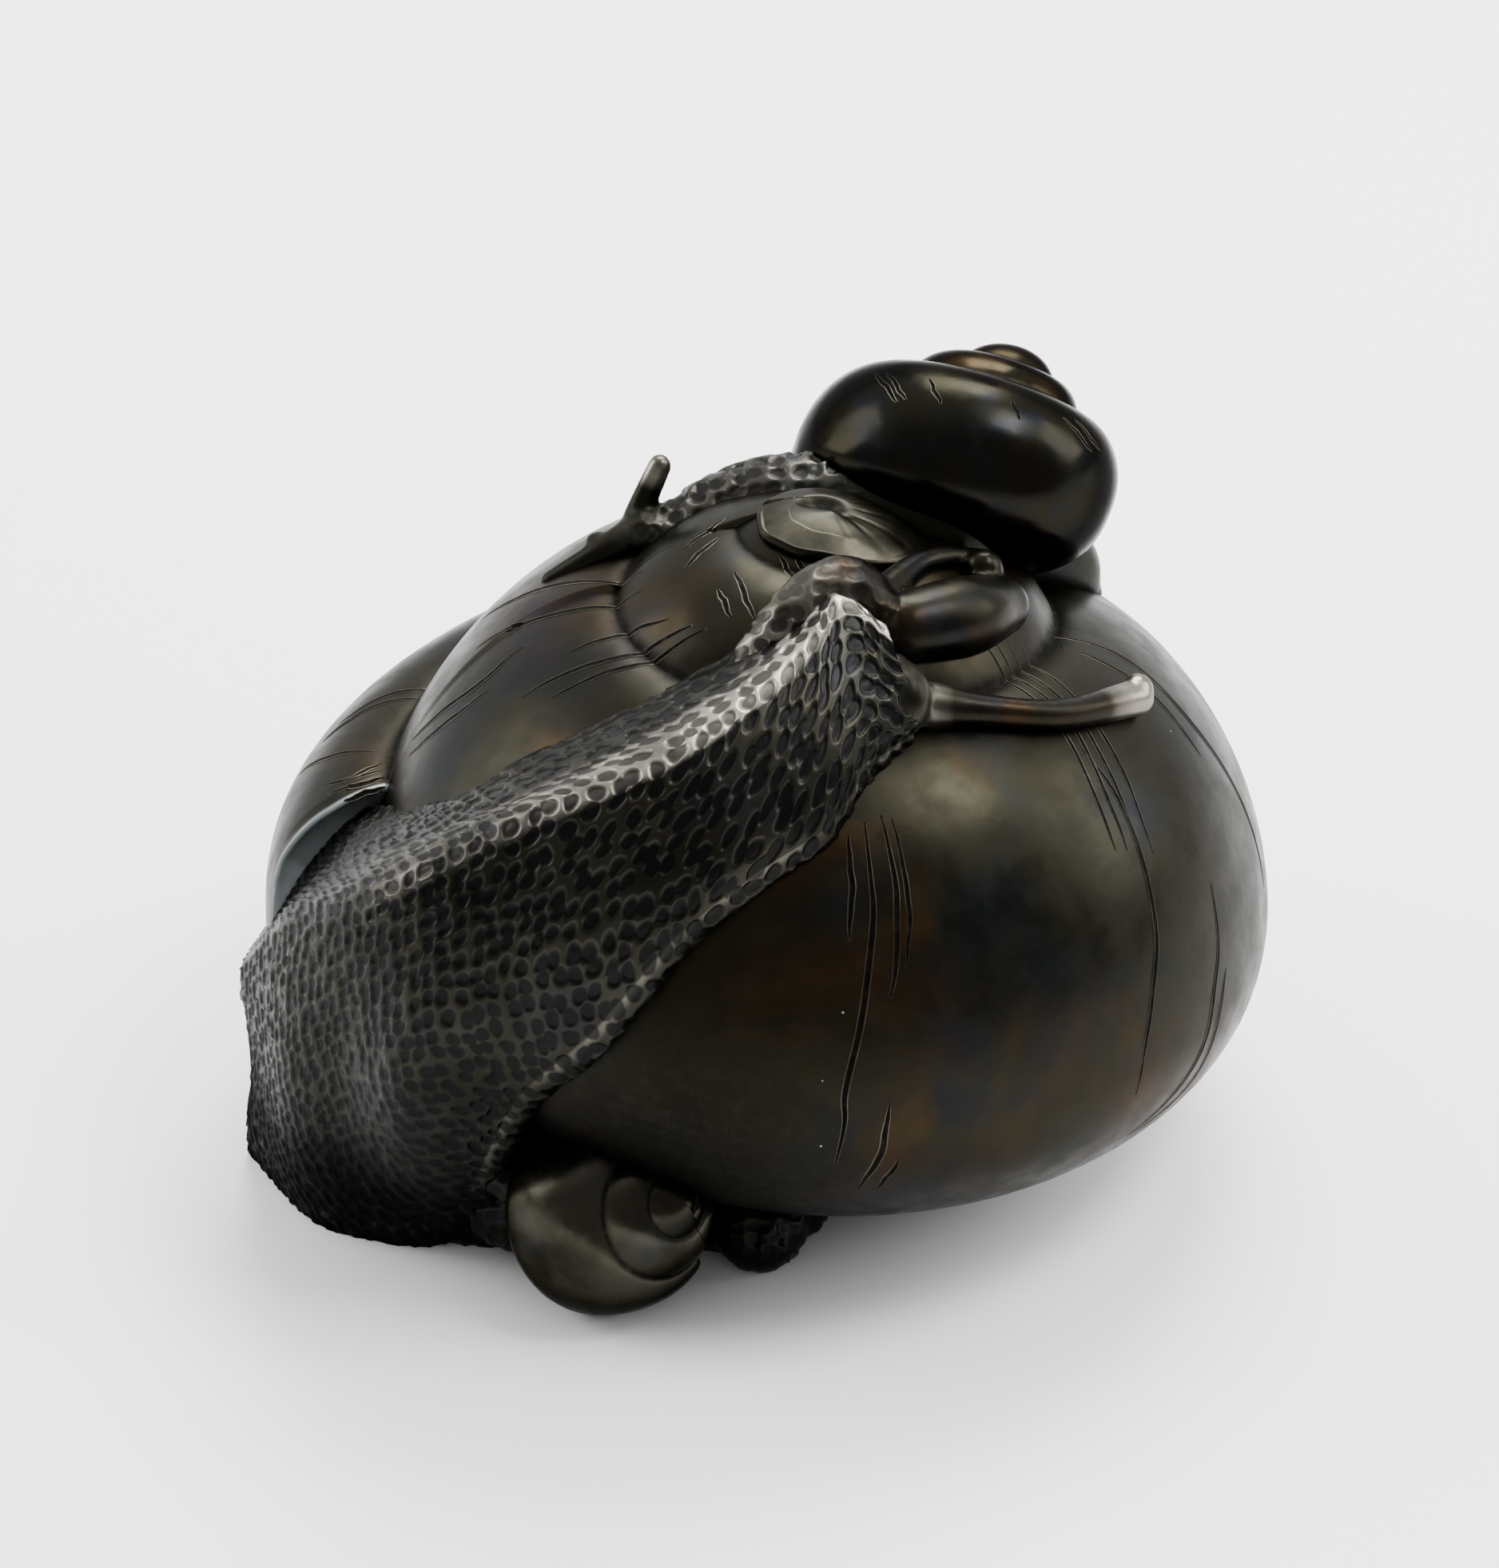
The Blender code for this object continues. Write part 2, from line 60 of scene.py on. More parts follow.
def seat(azimuth, latitude, lift=0.0):
    """A point over the big shell, where its smooth egg shape would be, lifted straight off it."""
    az, lat = math.radians(azimuth), math.radians(latitude)
    out, up = SHELL_RADIUS + lift, SHELL_MIDDLE + lift
    return np.array([out * math.cos(lat) * math.cos(az), out * math.cos(lat) * math.sin(az),
                     SHELL_MIDDLE + up * math.sin(lat)])


def spline_at(points, places):
    """A smooth curve through the points, read at places counted in points from the first."""
    points = np.asarray(points, float)
    padded = np.concatenate([2 * points[:1] - points[1:2], points, 2 * points[-1:] - points[-2:-1]])
    seg = np.minimum(places.astype(int), len(points) - 2)
    t = (places - seg).reshape((-1,) + (1,) * (points.ndim - 1))
    a, b, c, d = (padded[seg + k] for k in range(4))
    return 0.5 * (2 * b + (c - a) * t + (2 * a - 5 * b + 4 * c - d) * t**2 + (3 * b - a - 3 * c + d) * t**3)


def spline(points, count):
    return spline_at(points, np.linspace(0, len(points) - 1, count))


def soft_min(a, b, hardness=12.0):
    """The smaller of two lengths, with a round change from one to the other."""
    return (a**-hardness + b**-hardness) ** (-1 / hardness)


def spiral_shell(name, radius, height, widest, flare, mouth_azimuth, mouth_depth, turns, marks, rows,
                 growth=2.25, start=0.92, oval=0.12, doming=1.54, fullness=1.7, suture=68.0,
                 boxiness=1.9, shear=32.0, lip_fullness=0.0, painted_mouth_reflection=1.0):
    """A left-handed snail shell, apex up. Each whorl hangs from the suture on the whorl before it.

    marks are the places of the columns in one turn, from 0 to 1, and rows are the rows of a whorl,
    of the flank below its suture and of the base. The last argument is how much painted reflection
    of the white room lies inside the mouth, as a light grey that is less metallic.
    """
    whorl_rows, body_rows, base_rows = rows
    per_turn = len(marks)
    columns = int(turns) * per_turn + 1
    grown = np.concatenate([np.concatenate([marks + k for k in range(int(turns))]), [turns]]) - turns
    azimuth = np.radians(mouth_azimuth) + 2 * math.pi * grown
    opening = np.clip(grown + 1, 0, 1) ** 1.6
    spiral = start * radius * growth ** (grown + 1) * (1 - oval * np.cos(azimuth))
    widest_r = soft_min(spiral, radius + flare * opening)
    widest_z = height - (height - widest) * (soft_min(spiral, radius) / radius) ** doming
    power = 2 / (fullness + lip_fullness * opening ** 3)[:, None]
    down = np.radians(np.linspace(0, suture, whorl_rows + 1))
    top = np.zeros((columns, 2))
    top[:, 1] = height
    section = np.zeros((columns, whorl_rows + 1, 2))
    for turn in range(int(turns) + 1):
        here = np.arange(turn * per_turn, min((turn + 1) * per_turn, columns))
        if turn:
            top[here] = section[here - per_turn, -1]
        section[here, :, 0] = (top[here, :1] + (widest_r[here] - top[here, 0])[:, None]
                               * np.sin(down) ** power[here])
        section[here, :, 1] = (widest_z[here][:, None] + (top[here, 1] - widest_z[here])[:, None]
                               * np.cos(down) ** power[here])
    last = np.arange(columns - 1 - per_turn, columns)
    body = np.radians(np.linspace(suture, 90, body_rows + 1))[1:]
    base = np.radians(np.linspace(0, 90, base_rows + 1))[1:]
    square = (boxiness + 1.6 * opening[last])[:, None]
    side, low = widest_r[last][:, None], widest_z[last][:, None]
    upper = [top[last, :1] + (side - top[last, :1]) * np.sin(body) ** power[last],
             low + (top[last, 1:] - low) * np.abs(np.cos(body)) ** power[last]]
    under = [side * np.abs(np.cos(base)) ** (2 / square), low * (1 - np.sin(base) ** (2 / square))]
    lower = np.stack([np.hstack([upper[k], under[k]]) for k in (0, 1)], 2)[:, :-1]

    rows_all = whorl_rows + body_rows + base_rows
    index = np.zeros((columns, rows_all + 1), int)
    lip = np.interp(np.arange(rows_all + 1) / rows_all, *LIP_LINE)
    twist = math.radians(shear) * opening[:, None] * lip
    turned = azimuth[:, None] + twist

    def placed(rz, turn):
        return np.stack([rz[..., 0] * np.cos(turn), rz[..., 0] * np.sin(turn), rz[..., 1]], -1)

    whorls = placed(section[:, 1:], turned[:, 1:whorl_rows + 1]).reshape(-1, 3)
    index[:, 1:whorl_rows + 1] = 2 + np.arange(len(whorls)).reshape(columns, whorl_rows)
    index[per_turn:, 0] = index[:-per_turn, whorl_rows]
    flank = placed(lower, turned[last, whorl_rows + 1:rows_all]).reshape(-1, 3)
    index[last, whorl_rows + 1:rows_all] = (2 + len(whorls)
                                            + np.arange(len(flank)).reshape(len(last), -1))
    index[:, rows_all] = 1
    verts = [np.array([[0, 0, height], [0, 0, 0]]), whorls, flank]
    faces = [tuple([0] + list(index[0, 1:whorl_rows + 1]))]
    for i in range(columns - 1):
        depth = rows_all if i >= last[0] else whorl_rows
        quads = np.stack([index[i, :depth], index[i + 1, :depth], index[i + 1, 1:depth + 1],
                          index[i, 1:depth + 1]], 1)
        faces += [tuple(dict.fromkeys(quad)) for quad in quads.tolist()]

    loop = list(index[-1, :rows_all]) + [1] + list(index[last[0], rows_all - 1:whorl_rows:-1])
    edge = np.vstack(verts)[loop]
    middle = edge.mean(0)
    inward = np.array([math.sin(azimuth[-1]), -math.cos(azimuth[-1]), 0.0])
    before, size = loop, sum(len(v) for v in verts)
    for share, depth in MOUTH_BOWL:
        verts.append(edge + (middle - edge) * share + inward * mouth_depth * depth)
        now = list(range(size, size + len(loop)))
        size += len(loop)
        faces += [(before[k], before[k - 1], now[k - 1], now[k]) for k in range(len(loop))]
        before = now
    verts.append([middle + inward * mouth_depth])
    faces += [(before[k], before[k - 1], size) for k in range(len(loop))]
    mouth, seams = np.zeros((2, size + 1))
    # Painted reflection: the bowl inside the mouth is marked for a light grey that stands in for the white
    # room it reflects
    mouth[-((len(MOUTH_BOWL) - 1) * len(loop) + 1):] = painted_mouth_reflection
    across = np.arange(1, whorl_rows + 1) / whorl_rows
    seam = np.tile(np.exp(-(across / 0.05) ** 2), (columns, 1))
    seam[:last[0]] += np.exp(-((1 - across) / 0.06) ** 2)
    seams[2:2 + len(whorls)] = 0.9 * seam.ravel()
    return mesh_piece(name, np.vstack(verts), faces, marks={"mouth": mouth, "grime_and_painted_shade": seams})


def loft(name, rings):
    """A closed body through rings of points, with a fan over each end."""
    rings = np.asarray(rings)
    count, around = rings.shape[:2]
    here = np.arange(around)
    quads = []
    for i in range(count - 1):
        first, second = i * around + here, (i + 1) * around + here
        quads += np.stack([first, np.roll(first, -1), np.roll(second, -1), second], 1).tolist()
    ends = np.stack([rings[0].mean(0), rings[-1].mean(0)])
    for ring, centre in ((0, count * around), (count - 1, count * around + 1)):
        loop = ring * around + here
        quads += [(int(a), int(b), centre) for a, b in zip(loop, np.roll(loop, -1))]
    return mesh_piece(name, np.vstack([rings.reshape(-1, 3), ends]), quads)


def mesh_piece(name, verts, faces, weld=0.01 * MM, marks=None):
    """A closed smooth mesh object with marks on its points, its doubles merged and its faces turned out."""
    mesh = bpy.data.meshes.new(name)
    mesh.from_pydata([tuple(v) for v in verts], [], faces)
    for name_of_mark, values in (marks or {}).items():
        layer = mesh.attributes.new(name_of_mark, "FLOAT", "POINT")
        layer.data.foreach_set("value", np.asarray(values, np.float32))
    bm = bmesh.new()
    bm.from_mesh(mesh)
    if weld:
        bmesh.ops.remove_doubles(bm, verts=bm.verts, dist=weld)
    bmesh.ops.recalc_face_normals(bm, faces=bm.faces)
    if bm.calc_volume(signed=True) < 0:
        bmesh.ops.reverse_faces(bm, faces=bm.faces)
    bm.to_mesh(mesh)
    bm.free()
    mesh.shade_smooth()
    piece = bpy.data.objects.new(name, mesh)
    bpy.context.scene.collection.objects.link(piece)
    return piece


def points_of(piece):
    values = np.zeros(3 * len(piece.data.vertices))
    piece.data.vertices.foreach_get("co", values)
    return values.reshape(-1, 3)


def move_points(piece, points):
    """Gives the mesh its new points, none of them below the ground it stands on."""
    points = points.copy()
    points[:, 2] = np.maximum(points[:, 2], 0)
    piece.data.vertices.foreach_set("co", points.ravel())
    piece.data.update()


def keep_on_points(piece, name, values):
    """Stores one number for each point, for the material to read."""
    layer = piece.data.attributes.get(name) or piece.data.attributes.new(name, "FLOAT", "POINT")
    layer.data.foreach_set("value", np.asarray(values, dtype=np.float32))


# The growth lines. The real ones are cuts that a chisel left in the big shell's wax, cast with it and dark
# at their bottoms. Each is the azimuth and latitude of its points, then its depth and half width in mm.
GROOVES = (
    (((277.2, 42.8), (276.9, 34.8), (276.2, 26.5)), 0.45, 0.32),
    (((280.0, 44.3), (279.9, 35.8), (279.5, 29.9), (278.2, 20.6), (276.9, 11.2), (275.1, 0.4),
      (274.9, -5.3), (273.9, -14.3)), 0.55, 0.34),
    (((282.9, 45.1), (283.3, 35.4), (282.9, 28.3), (282.0, 22.1), (281.0, 16.5)), 0.5, 0.32),
    (((284.6, 44.5), (285.0, 35.3), (284.4, 28.2), (283.4, 21.4)), 0.35, 0.26),
    (((280.3, -2.3), (279.1, -12.4), (277.0, -21.2)), 0.5, 0.36),
    (((281.6, -13.6), (279.4, -21.6)), 0.35, 0.3),
    (((324.8, 44.6), (324.7, 35.7), (322.5, 22.1), (320.5, 12.5), (317.5, 3.8), (315.1, -5.0),
      (313.9, -13.8)), 0.45, 0.3),
    (((326.0, 64.2), (326.6, 58.0), (325.0, 50.0), (322.2, 43.0), (320.4, 36.0), (319.2, 29.0)), 0.28, 0.24),
    (((329.8, 63.3), (329.4, 57.0), (327.4, 49.0), (324.6, 42.0), (322.6, 35.0), (321.2, 28.0)), 0.32, 0.24),
    (((334.1, 62.2), (332.6, 56.0), (330.0, 48.0), (327.2, 41.0), (325.0, 34.0), (323.4, 26.0)), 0.30, 0.24),
    (((338.7, 60.9), (336.0, 54.0), (332.8, 47.0), (329.9, 40.0), (327.4, 33.0), (325.6, 25.0)), 0.28, 0.24),
    (((334.8, 13.3), (332.5, 3.1), (329.6, -4.4), (326.4, -14.6), (322.2, -21.1), (316.8, -26.4)), 0.4, 0.3),
    (((333.3, -2.1), (330.9, -8.6), (326.8, -21.6), (318.4, -26.7)), 0.35, 0.28),
    (((355.3, 57.1), (357.8, 45.6), (355.5, 30.8), (355.0, 11.0), (353.0, -2.0)), 0.35, 0.3),
    (((351.0, 55.0), (352.0, 42.0), (350.0, 28.0)), 0.3, 0.3),
    (((232.1, 75.7), (244.0, 72.7)), 0.35, 0.3),
    (((233.3, 78.5), (253.1, 72.9)), 0.4, 0.3),
    (((254.0, 82.3), (268.5, 78.2)), 0.35, 0.28),
    (((266.2, 82.3), (274.9, 78.9)), 0.35, 0.28),
    (((176.3, 82.4), (193.8, 77.2)), 0.3, 0.3),
    (((196.5, 81.3), (209.0, 75.7)), 0.35, 0.3),
    (((189.7, 72.0), (174.7, 59.0), (166.8, 44.2)), 0.35, 0.3),
    (((199.9, 71.0), (188.3, 61.4), (180.7, 46.6)), 0.4, 0.3),
    (((192.6, 54.5), (192.1, 44.5), (185.3, 28.8)), 0.4, 0.32),
    (((196.7, 46.9), (193.3, 38.1), (188.1, 27.4)), 0.35, 0.3),
    (((221.5, 70.2), (208.2, 65.4), (204.7, 59.0)), 0.35, 0.3),
    (((231.7, 70.6), (214.6, 61.7), (206.1, 50.0)), 0.4, 0.32),
    (((237.3, 70.7), (220.6, 62.1), (212.5, 52.6)), 0.4, 0.3),
    (((159.2, 24.1), (167.3, 14.1)), 0.35, 0.3),
    (((163.2, 22.0), (170.0, 12.4)), 0.4, 0.3),
    (((177.5, 19.2), (174.0, 8.6)), 0.35, 0.3),
    (((90.0, 48.0), (84.0, 30.0), (81.0, 12.0), (82.0, -6.0)), 0.4, 0.32),
    (((94.0, 44.0), (88.0, 27.0), (86.0, 10.0)), 0.35, 0.3),
    (((40.0, 40.0), (36.0, 22.0), (35.0, 2.0)), 0.35, 0.3),
    (((130.0, 30.0), (126.0, 12.0), (127.0, -8.0)), 0.4, 0.3),
    (((134.0, 26.0), (130.0, 10.0)), 0.3, 0.28),
)


# More of them beside the mouth, by their places in millimetres across and up the photograph's plane
MOUTH_CUTS = (((-29.9, 2.36), (-32.9, 0.91)), ((-29.8, 1.78), (-34.7, 0.47)), ((-29.6, 1.2), (-34.1, -0.11)),
              ((-29.4, 0.47), (-32.6, -0.70)))
PICTURE_MIDDLE = np.array([-4, 0, 30.7]) * MM
PICTURE_UP = np.array([0, 0.5, 0.866])
PICTURE_BACK = np.array([0, -0.866, 0.5])


def chisel_line(hits, deep, half, wobble):
    """One cut as rings of points across it: a dark bottom between two raised burrs, thin at its ends."""
    count = len(hits)
    line = np.array([tuple(hit[0]) for hit in hits])
    out = np.array([tuple(hit[1]) for hit in hits])
    along = np.gradient(line, axis=0)
    across = np.cross(along, out)
    across /= np.linalg.norm(across, axis=1)[:, None]
    gone = np.linspace(0, 1, count)
    shape = np.sqrt(np.sin(np.pi * (0.02 + 0.96 * gone)))[:, None, None]
    line = line + across * (0.08 * MM * np.sin(9 * gone + wobble) * np.sin(np.pi * gone))[:, None]
    line = line + across * (0.02 * MM * np.sin(23 * gone + 3 * wobble))[:, None]
    return (line[:, None] + across[:, None] * CUT_ACROSS[:, None] * half * 1.05 * MM * shape
            + out[:, None] * CUT_RISE[:, None] * (deep / 0.4) * MM * shape)


def round_hits(places):
    """Where a line by azimuth and latitude meets the big shell, with the way out of the shell there."""
    middle = np.array([0, 0, SHELL_MIDDLE])
    headings = spline([seat(az, lat) - middle for az, lat in places], 18 * len(places))
    return [shell_tree.ray_cast(Vector(middle + 2 * way), Vector(-way).normalized()) for way in headings]


def front_hits(tree, places):
    """The same for a line by its places on the photograph's plane."""
    starts = [PICTURE_MIDDLE + (right * MM, 0, 0) + PICTURE_UP * up * MM + PICTURE_BACK * 4 * SHELL_RADIUS
              for right, up in spline(places, 30)]
    return [tree.ray_cast(Vector(start), Vector(-PICTURE_BACK)) for start in starts]


def chisel_marks(name, cuts, drop=0.0):
    """Some cuts as one piece, with marks of their dark bottoms and rubbed burrs."""
    verts, faces, size = [], [], 0
    for k, (hits, deep, half) in enumerate(cuts):
        ring = chisel_line(hits, deep, half, 1.7 * k)
        count, around = ring.shape[:2]
        here = np.arange(around)
        for i in range(count - 1):
            first, second = size + i * around + here, size + (i + 1) * around + here
            faces += np.stack([first, np.roll(first, -1), np.roll(second, -1), second], 1).tolist()
        faces += [(size + here).tolist(), (size + (count - 1) * around + here).tolist()]
        verts.append(ring.reshape(-1, 3))
        size += count * around
    across = np.abs(np.tile(CUT_ACROSS, size // len(CUT_ACROSS)))
    marks = {"grime_and_painted_shade": np.clip((0.66 - across) / 0.1, 0, 1), "wear_and_painted_highlight": np.exp(-((across - 0.8) / 0.12) ** 2)}
    return mesh_piece(name, np.vstack(verts) - (0, 0, drop), faces, weld=0, marks=marks)


CUT_ACROSS = np.array([-1, -0.84, -0.72, -0.58, -0.3, 0, 0.3, 0.58, 0.72, 0.84, 1, 0.8, -0.8])
CUT_RISE = np.array([-0.04, 0.05, 0.055, 0.012, 0.008, 0.008, 0.008, 0.012, 0.055, 0.05, -0.04, -0.2, -0.2])
MOUTH_AZIMUTH = 184
big_shell = spiral_shell("big_shell", SHELL_RADIUS, SHELL_HEIGHT, 21 * MM, 7 * MM, MOUTH_AZIMUTH, 6 * MM, 3,
                         np.linspace(0, 1, 481)[:-1], (34, 16, 34), boxiness=1.7, lip_fullness=0.5)
lean = (Matrix.Translation((0.01 * SHELL_RADIUS, 0, SHELL_MIDDLE))
        @ Matrix.Rotation(math.radians(SHELL_LEAN), 4, "Y") @ Matrix.Translation((0, 0, -SHELL_MIDDLE)))
big_shell.data.transform(lean)
shell_tree = BVHTree.FromPolygons([v.co for v in big_shell.data.vertices],
                                  [tuple(face.vertices) for face in big_shell.data.polygons])


def on_shell(azimuth, latitude, lift=0.0):
    """The point at a lift off the shell's real surface, along the radius that seat() uses."""
    base = Vector(seat(azimuth, latitude))
    out = (Vector(seat(azimuth, latitude, SHELL_RADIUS)) - base).normalized()
    found = shell_tree.ray_cast(base + out * SHELL_RADIUS, -out)[0]
    return np.array(found + out * lift)


move_points(big_shell, points_of(big_shell) - (0, 0, GROUND_CUT))
# Painted shade: a dark patch low on the shell's front, over the small snail, where the shell is shaded next
# to it
shade_patch_middle = np.array([-10, -34, 14]) * MM
from_shade_patch = np.linalg.norm((points_of(big_shell) - shade_patch_middle) / (13 * MM), axis=1)
seams = np.zeros(len(from_shade_patch), np.float32)
big_shell.data.attributes["grime_and_painted_shade"].data.foreach_get("value", seams)
keep_on_points(big_shell, "grime_and_painted_shade", np.maximum(seams, 0.85 * np.exp(-from_shade_patch ** 2)))


def linear(colour):
    """An sRGB hex colour as the linear values that a shader takes."""
    channels = [int(colour[i:i + 2], 16) / 255 for i in (1, 3, 5)]
    return [c / 12.92 if c <= 0.04045 else ((c + 0.055) / 1.055) ** 2.4 for c in channels] + [1.0]


def node(tree, kind, links=None, **settings):
    """Adds a node with its settings, and feeds its sockets from values or from other sockets."""
    made = tree.nodes.new(kind)
    for key, value in settings.items():
        setattr(made, key, value)
    for key, value in (links or {}).items():
        if isinstance(value, bpy.types.NodeSocket):
            tree.links.new(value, made.inputs[key])
        else:
            made.inputs[key].default_value = value
    return made


# How far the punch marks stray from even rows, from 0 to 1. The skin's mesh and its finish share it
PUNCH_UNEVENNESS = 0.48


def punched_cells(tree, place, unevenness):
    """How far into its round punch mark a place on the skin is, from 0 on the flat to 1 on the bottom."""
    wander = node(tree, "ShaderNodeTexNoise", {"Vector": place, "Scale": 0.5,
                                               "Detail": 1.0}).outputs["Color"]
    bent = node(tree, "ShaderNodeVectorMath", {0: wander, 1: (0.8, 0.8, 0.0), 2: place},
                operation="MULTIPLY_ADD").outputs["Vector"]
    away = node(tree, "ShaderNodeTexVoronoi", {"Vector": bent, "Scale": 1.0, "Randomness": unevenness},
                feature="F1", voronoi_dimensions="2D").outputs["Distance"]
    return node(tree, "ShaderNodeMapRange", {"Value": away, "From Min": 0.51, "From Max": 0.35},
                interpolation_type="SMOOTHSTEP").outputs["Result"]


def patinated_bronze(name, dark, warm, cool, wear_and_painted_highlight, grime_and_shade_colour, roughness, mottle_mm, warmth=0.5, speck=0.5,
                     edge=0.65, punched=False):
    """Cast bronze under a chemical patina: nearly black brown that goes warm in patches, rubbed back
    towards the metal on its high places, with dark dirt in its hollows and dust on top. Where a piece's
    points ask for it, the same marks also lay painted shade and a painted highlight.

    roughness is the middle of its sheen, mottle_mm the size of its patches, warmth how many of them are
    warm, speck how much dust lies on it, and edge how bright it turns where it is seen from the side.
    """
    material = bpy.data.materials.new(name)
    material.use_nodes = True
    tree = material.node_tree
    shader = tree.nodes["Principled BSDF"]
    place = tree.nodes.new("ShaderNodeTexCoord").outputs["Object"]

    def noise(size_mm, detail=4.0, rough=0.55, warp=0.0):
        return node(tree, "ShaderNodeTexNoise", {"Vector": place, "Scale": 1000 / size_mm, "Detail": detail,
                                                 "Roughness": rough, "Distortion": warp}).outputs["Fac"]

    def spread(value, low, high, to_low=0.0, to_high=1.0):
        return node(tree, "ShaderNodeMapRange", {"Value": value, "From Min": low, "From Max": high,
                                                 "To Min": to_low, "To Max": to_high},
                    interpolation_type="SMOOTHSTEP").outputs["Result"]

    def sums(kind, a, b):
        return node(tree, "ShaderNodeMath", {0: a, 1: b}, operation=kind, use_clamp=True).outputs[0]

    def mixed(share, a, b):
        return node(tree, "ShaderNodeMix", {0: share, 6: a, 7: b}, data_type="RGBA").outputs[2]

    def on_points(layer, what="Fac"):
        return node(tree, "ShaderNodeAttribute", attribute_name=layer).outputs[what]

    patches = spread(noise(mottle_mm, warp=0.6), 0.66 - 0.28 * warmth, 0.76)
    clouds = spread(noise(0.6 * mottle_mm, 3.0), 0.46, 0.72)
    fine = noise(0.9, 5.0, 0.6)
    grime_and_painted_shade, wear = on_points("grime_and_painted_shade"), on_points("wear_and_painted_highlight")
    colour = mixed(patches, linear(dark), linear(warm))
    colour = mixed(sums("MULTIPLY", clouds, 0.7), colour, linear(cool))
    height = fine
    if punched:
        cells = punched_cells(tree, on_points("skin_place", "Vector"), PUNCH_UNEVENNESS)
        pit = sums("MULTIPLY", cells, on_points("punch"))
        flat = sums("SUBTRACT", 1.0, pit)
        colour = mixed(sums("MULTIPLY", pit, 0.75), colour, linear("#0b0b0e"))
        wear = sums("MULTIPLY", wear, sums("ADD", sums("MULTIPLY", flat, 0.8), 0.2))
        height = sums("ADD", sums("MULTIPLY", fine, 0.4), sums("MULTIPLY", flat, 0.6))
    # The wear mark is real wear, and on the apex cap also a painted highlight on its front part
    rubbed = sums("MULTIPLY", wear, spread(noise(6.0), 0.32, 0.60, 0.2, 1.0))
    colour = mixed(rubbed, colour, linear(wear_and_painted_highlight))
    # The grime mark is dark grime in the cuts, sutures and pits, and also painted shade: low on the foot,
    # and a patch on the shell's front over the small snail
    grime_and_shade_share = sums("MULTIPLY", grime_and_painted_shade, spread(fine, 0.3, 0.55, 0.6, 1.0))
    colour = mixed(grime_and_shade_share, colour, linear(grime_and_shade_colour))
    mouth = on_points("mouth")
    # Painted reflection: the marked inside of the mouth is painted a light grey, for the white room that it
    # reflects
    colour = mixed(sums("MULTIPLY", mouth, 0.9), colour, linear("#6c7273"))
    dust = node(tree, "ShaderNodeTexVoronoi", {"Vector": place, "Scale": 1000 / 2.6}).outputs["Distance"]
    dust = sums("MULTIPLY", spread(dust, 0.045, 0.02), spread(noise(7.0), 0.55, 0.62, 0.0, speck))
    colour = mixed(dust, colour, linear("#a8a69c"))
    tree.links.new(colour, shader.inputs["Base Color"])
    shine = sums("ADD", spread(noise(3.2), 0.3, 0.7, roughness - 0.06, roughness + 0.08),
                 sums("MULTIPLY", sums("MAXIMUM", dust, grime_and_shade_share), 0.35))
    tree.links.new(shine, shader.inputs["Roughness"])
    # The dust, and the painted reflection inside the mouth, are made less metallic
    metal = node(tree, "ShaderNodeMath", {0: 0.95, 1: sums("MULTIPLY", sums("MAXIMUM", dust, mouth), 0.8)},
                 operation="SUBTRACT", use_clamp=True).outputs[0]
    tree.links.new(metal, shader.inputs["Metallic"])
    grain = node(tree, "ShaderNodeBump", {"Height": height, "Strength": 0.25 if punched else 0.15,
                                          "Distance": (0.12 if punched else 0.05) * MM})
    pits = node(tree, "ShaderNodeBump", {"Height": noise(4.0, 2.0), "Strength": 0.2, "Distance": 0.2 * MM,
                                         "Normal": grain.outputs["Normal"]})
    tree.links.new(pits.outputs["Normal"], shader.inputs["Normal"])
    shader.inputs["Specular Tint"].default_value = (edge, edge, edge, 1.0)
    return material


def finish_piece(piece, material):
    """Gives a piece its finish and ties it to the casting."""
    for layer in ("grime_and_painted_shade", "wear_and_painted_highlight", "mouth"):
        if layer not in piece.data.attributes:
            keep_on_points(piece, layer, np.zeros(len(piece.data.vertices)))
    piece.data.materials.clear()
    piece.data.materials.append(material)
    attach(piece, "root")


# Patinated bronze, smoothed by hand before it was coloured: a satin sheen with broad warm and cool clouds
shell_bronze = patinated_bronze("shell_patinated_bronze", "#1a1912", "#2d2011", "#12151b", "#4c4a40",
                                "#070605", roughness=0.33, mottle_mm=22, warmth=0.6, speck=0.6)
finish_piece(big_shell, shell_bronze)
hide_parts("snail_group")
shell_cuts = [(round_hits(places), deep, half) for places, deep, half in GROOVES]
shell_cuts += [(front_hits(shell_tree, places), 0.3, 0.3) for places in MOUTH_CUTS]
finish_piece(chisel_marks("growth_lines", shell_cuts, GROUND_CUT), shell_bronze)

# The cap on the big shell's apex. The real one is an oval scar of the same bronze, left proud where the
# first whorls were cut away: a pit, chisel lines that fan out of it and a steep edge to the left.
CAP_RADII = (6.5 * MM, 4.6 * MM)
cap_middle = on_shell(319.7, 84.8)
# From the shell over the cap's rolled edge to its middle: share of the way out, and share of its thickness
turn = np.linspace(0, 2 * math.pi, 360, endpoint=False)[None]
share = np.array([0.93, 0.97, 0.995, 1.0, 0.995, 0.98, 0.955] + list(np.linspace(0.93, 0.1, 84)))[:, None]
rise = np.array([-0.5, 0.05, 0.35, 0.6, 0.8, 0.93, 0.99] + [1.0] * 84)[:, None]
outline = 1 + 0.05 * np.cos(2 * turn + 1.2) + 0.03 * np.cos(3 * turn + 0.4) + 0.012 * np.cos(9 * turn)
cap_x = CAP_RADII[0] * share * outline * np.cos(turn)
cap_y = CAP_RADII[1] * share * outline * np.sin(turn)
thick = (0.80 - 0.32 * np.cos(turn - 0.75)) * MM * rise
front = np.clip(-np.sin(turn + 0.5), 0, 1)
thick = thick - 0.35 * MM * front * np.clip((share - 0.62) / 0.3, 0, 1) * (rise >= 1)
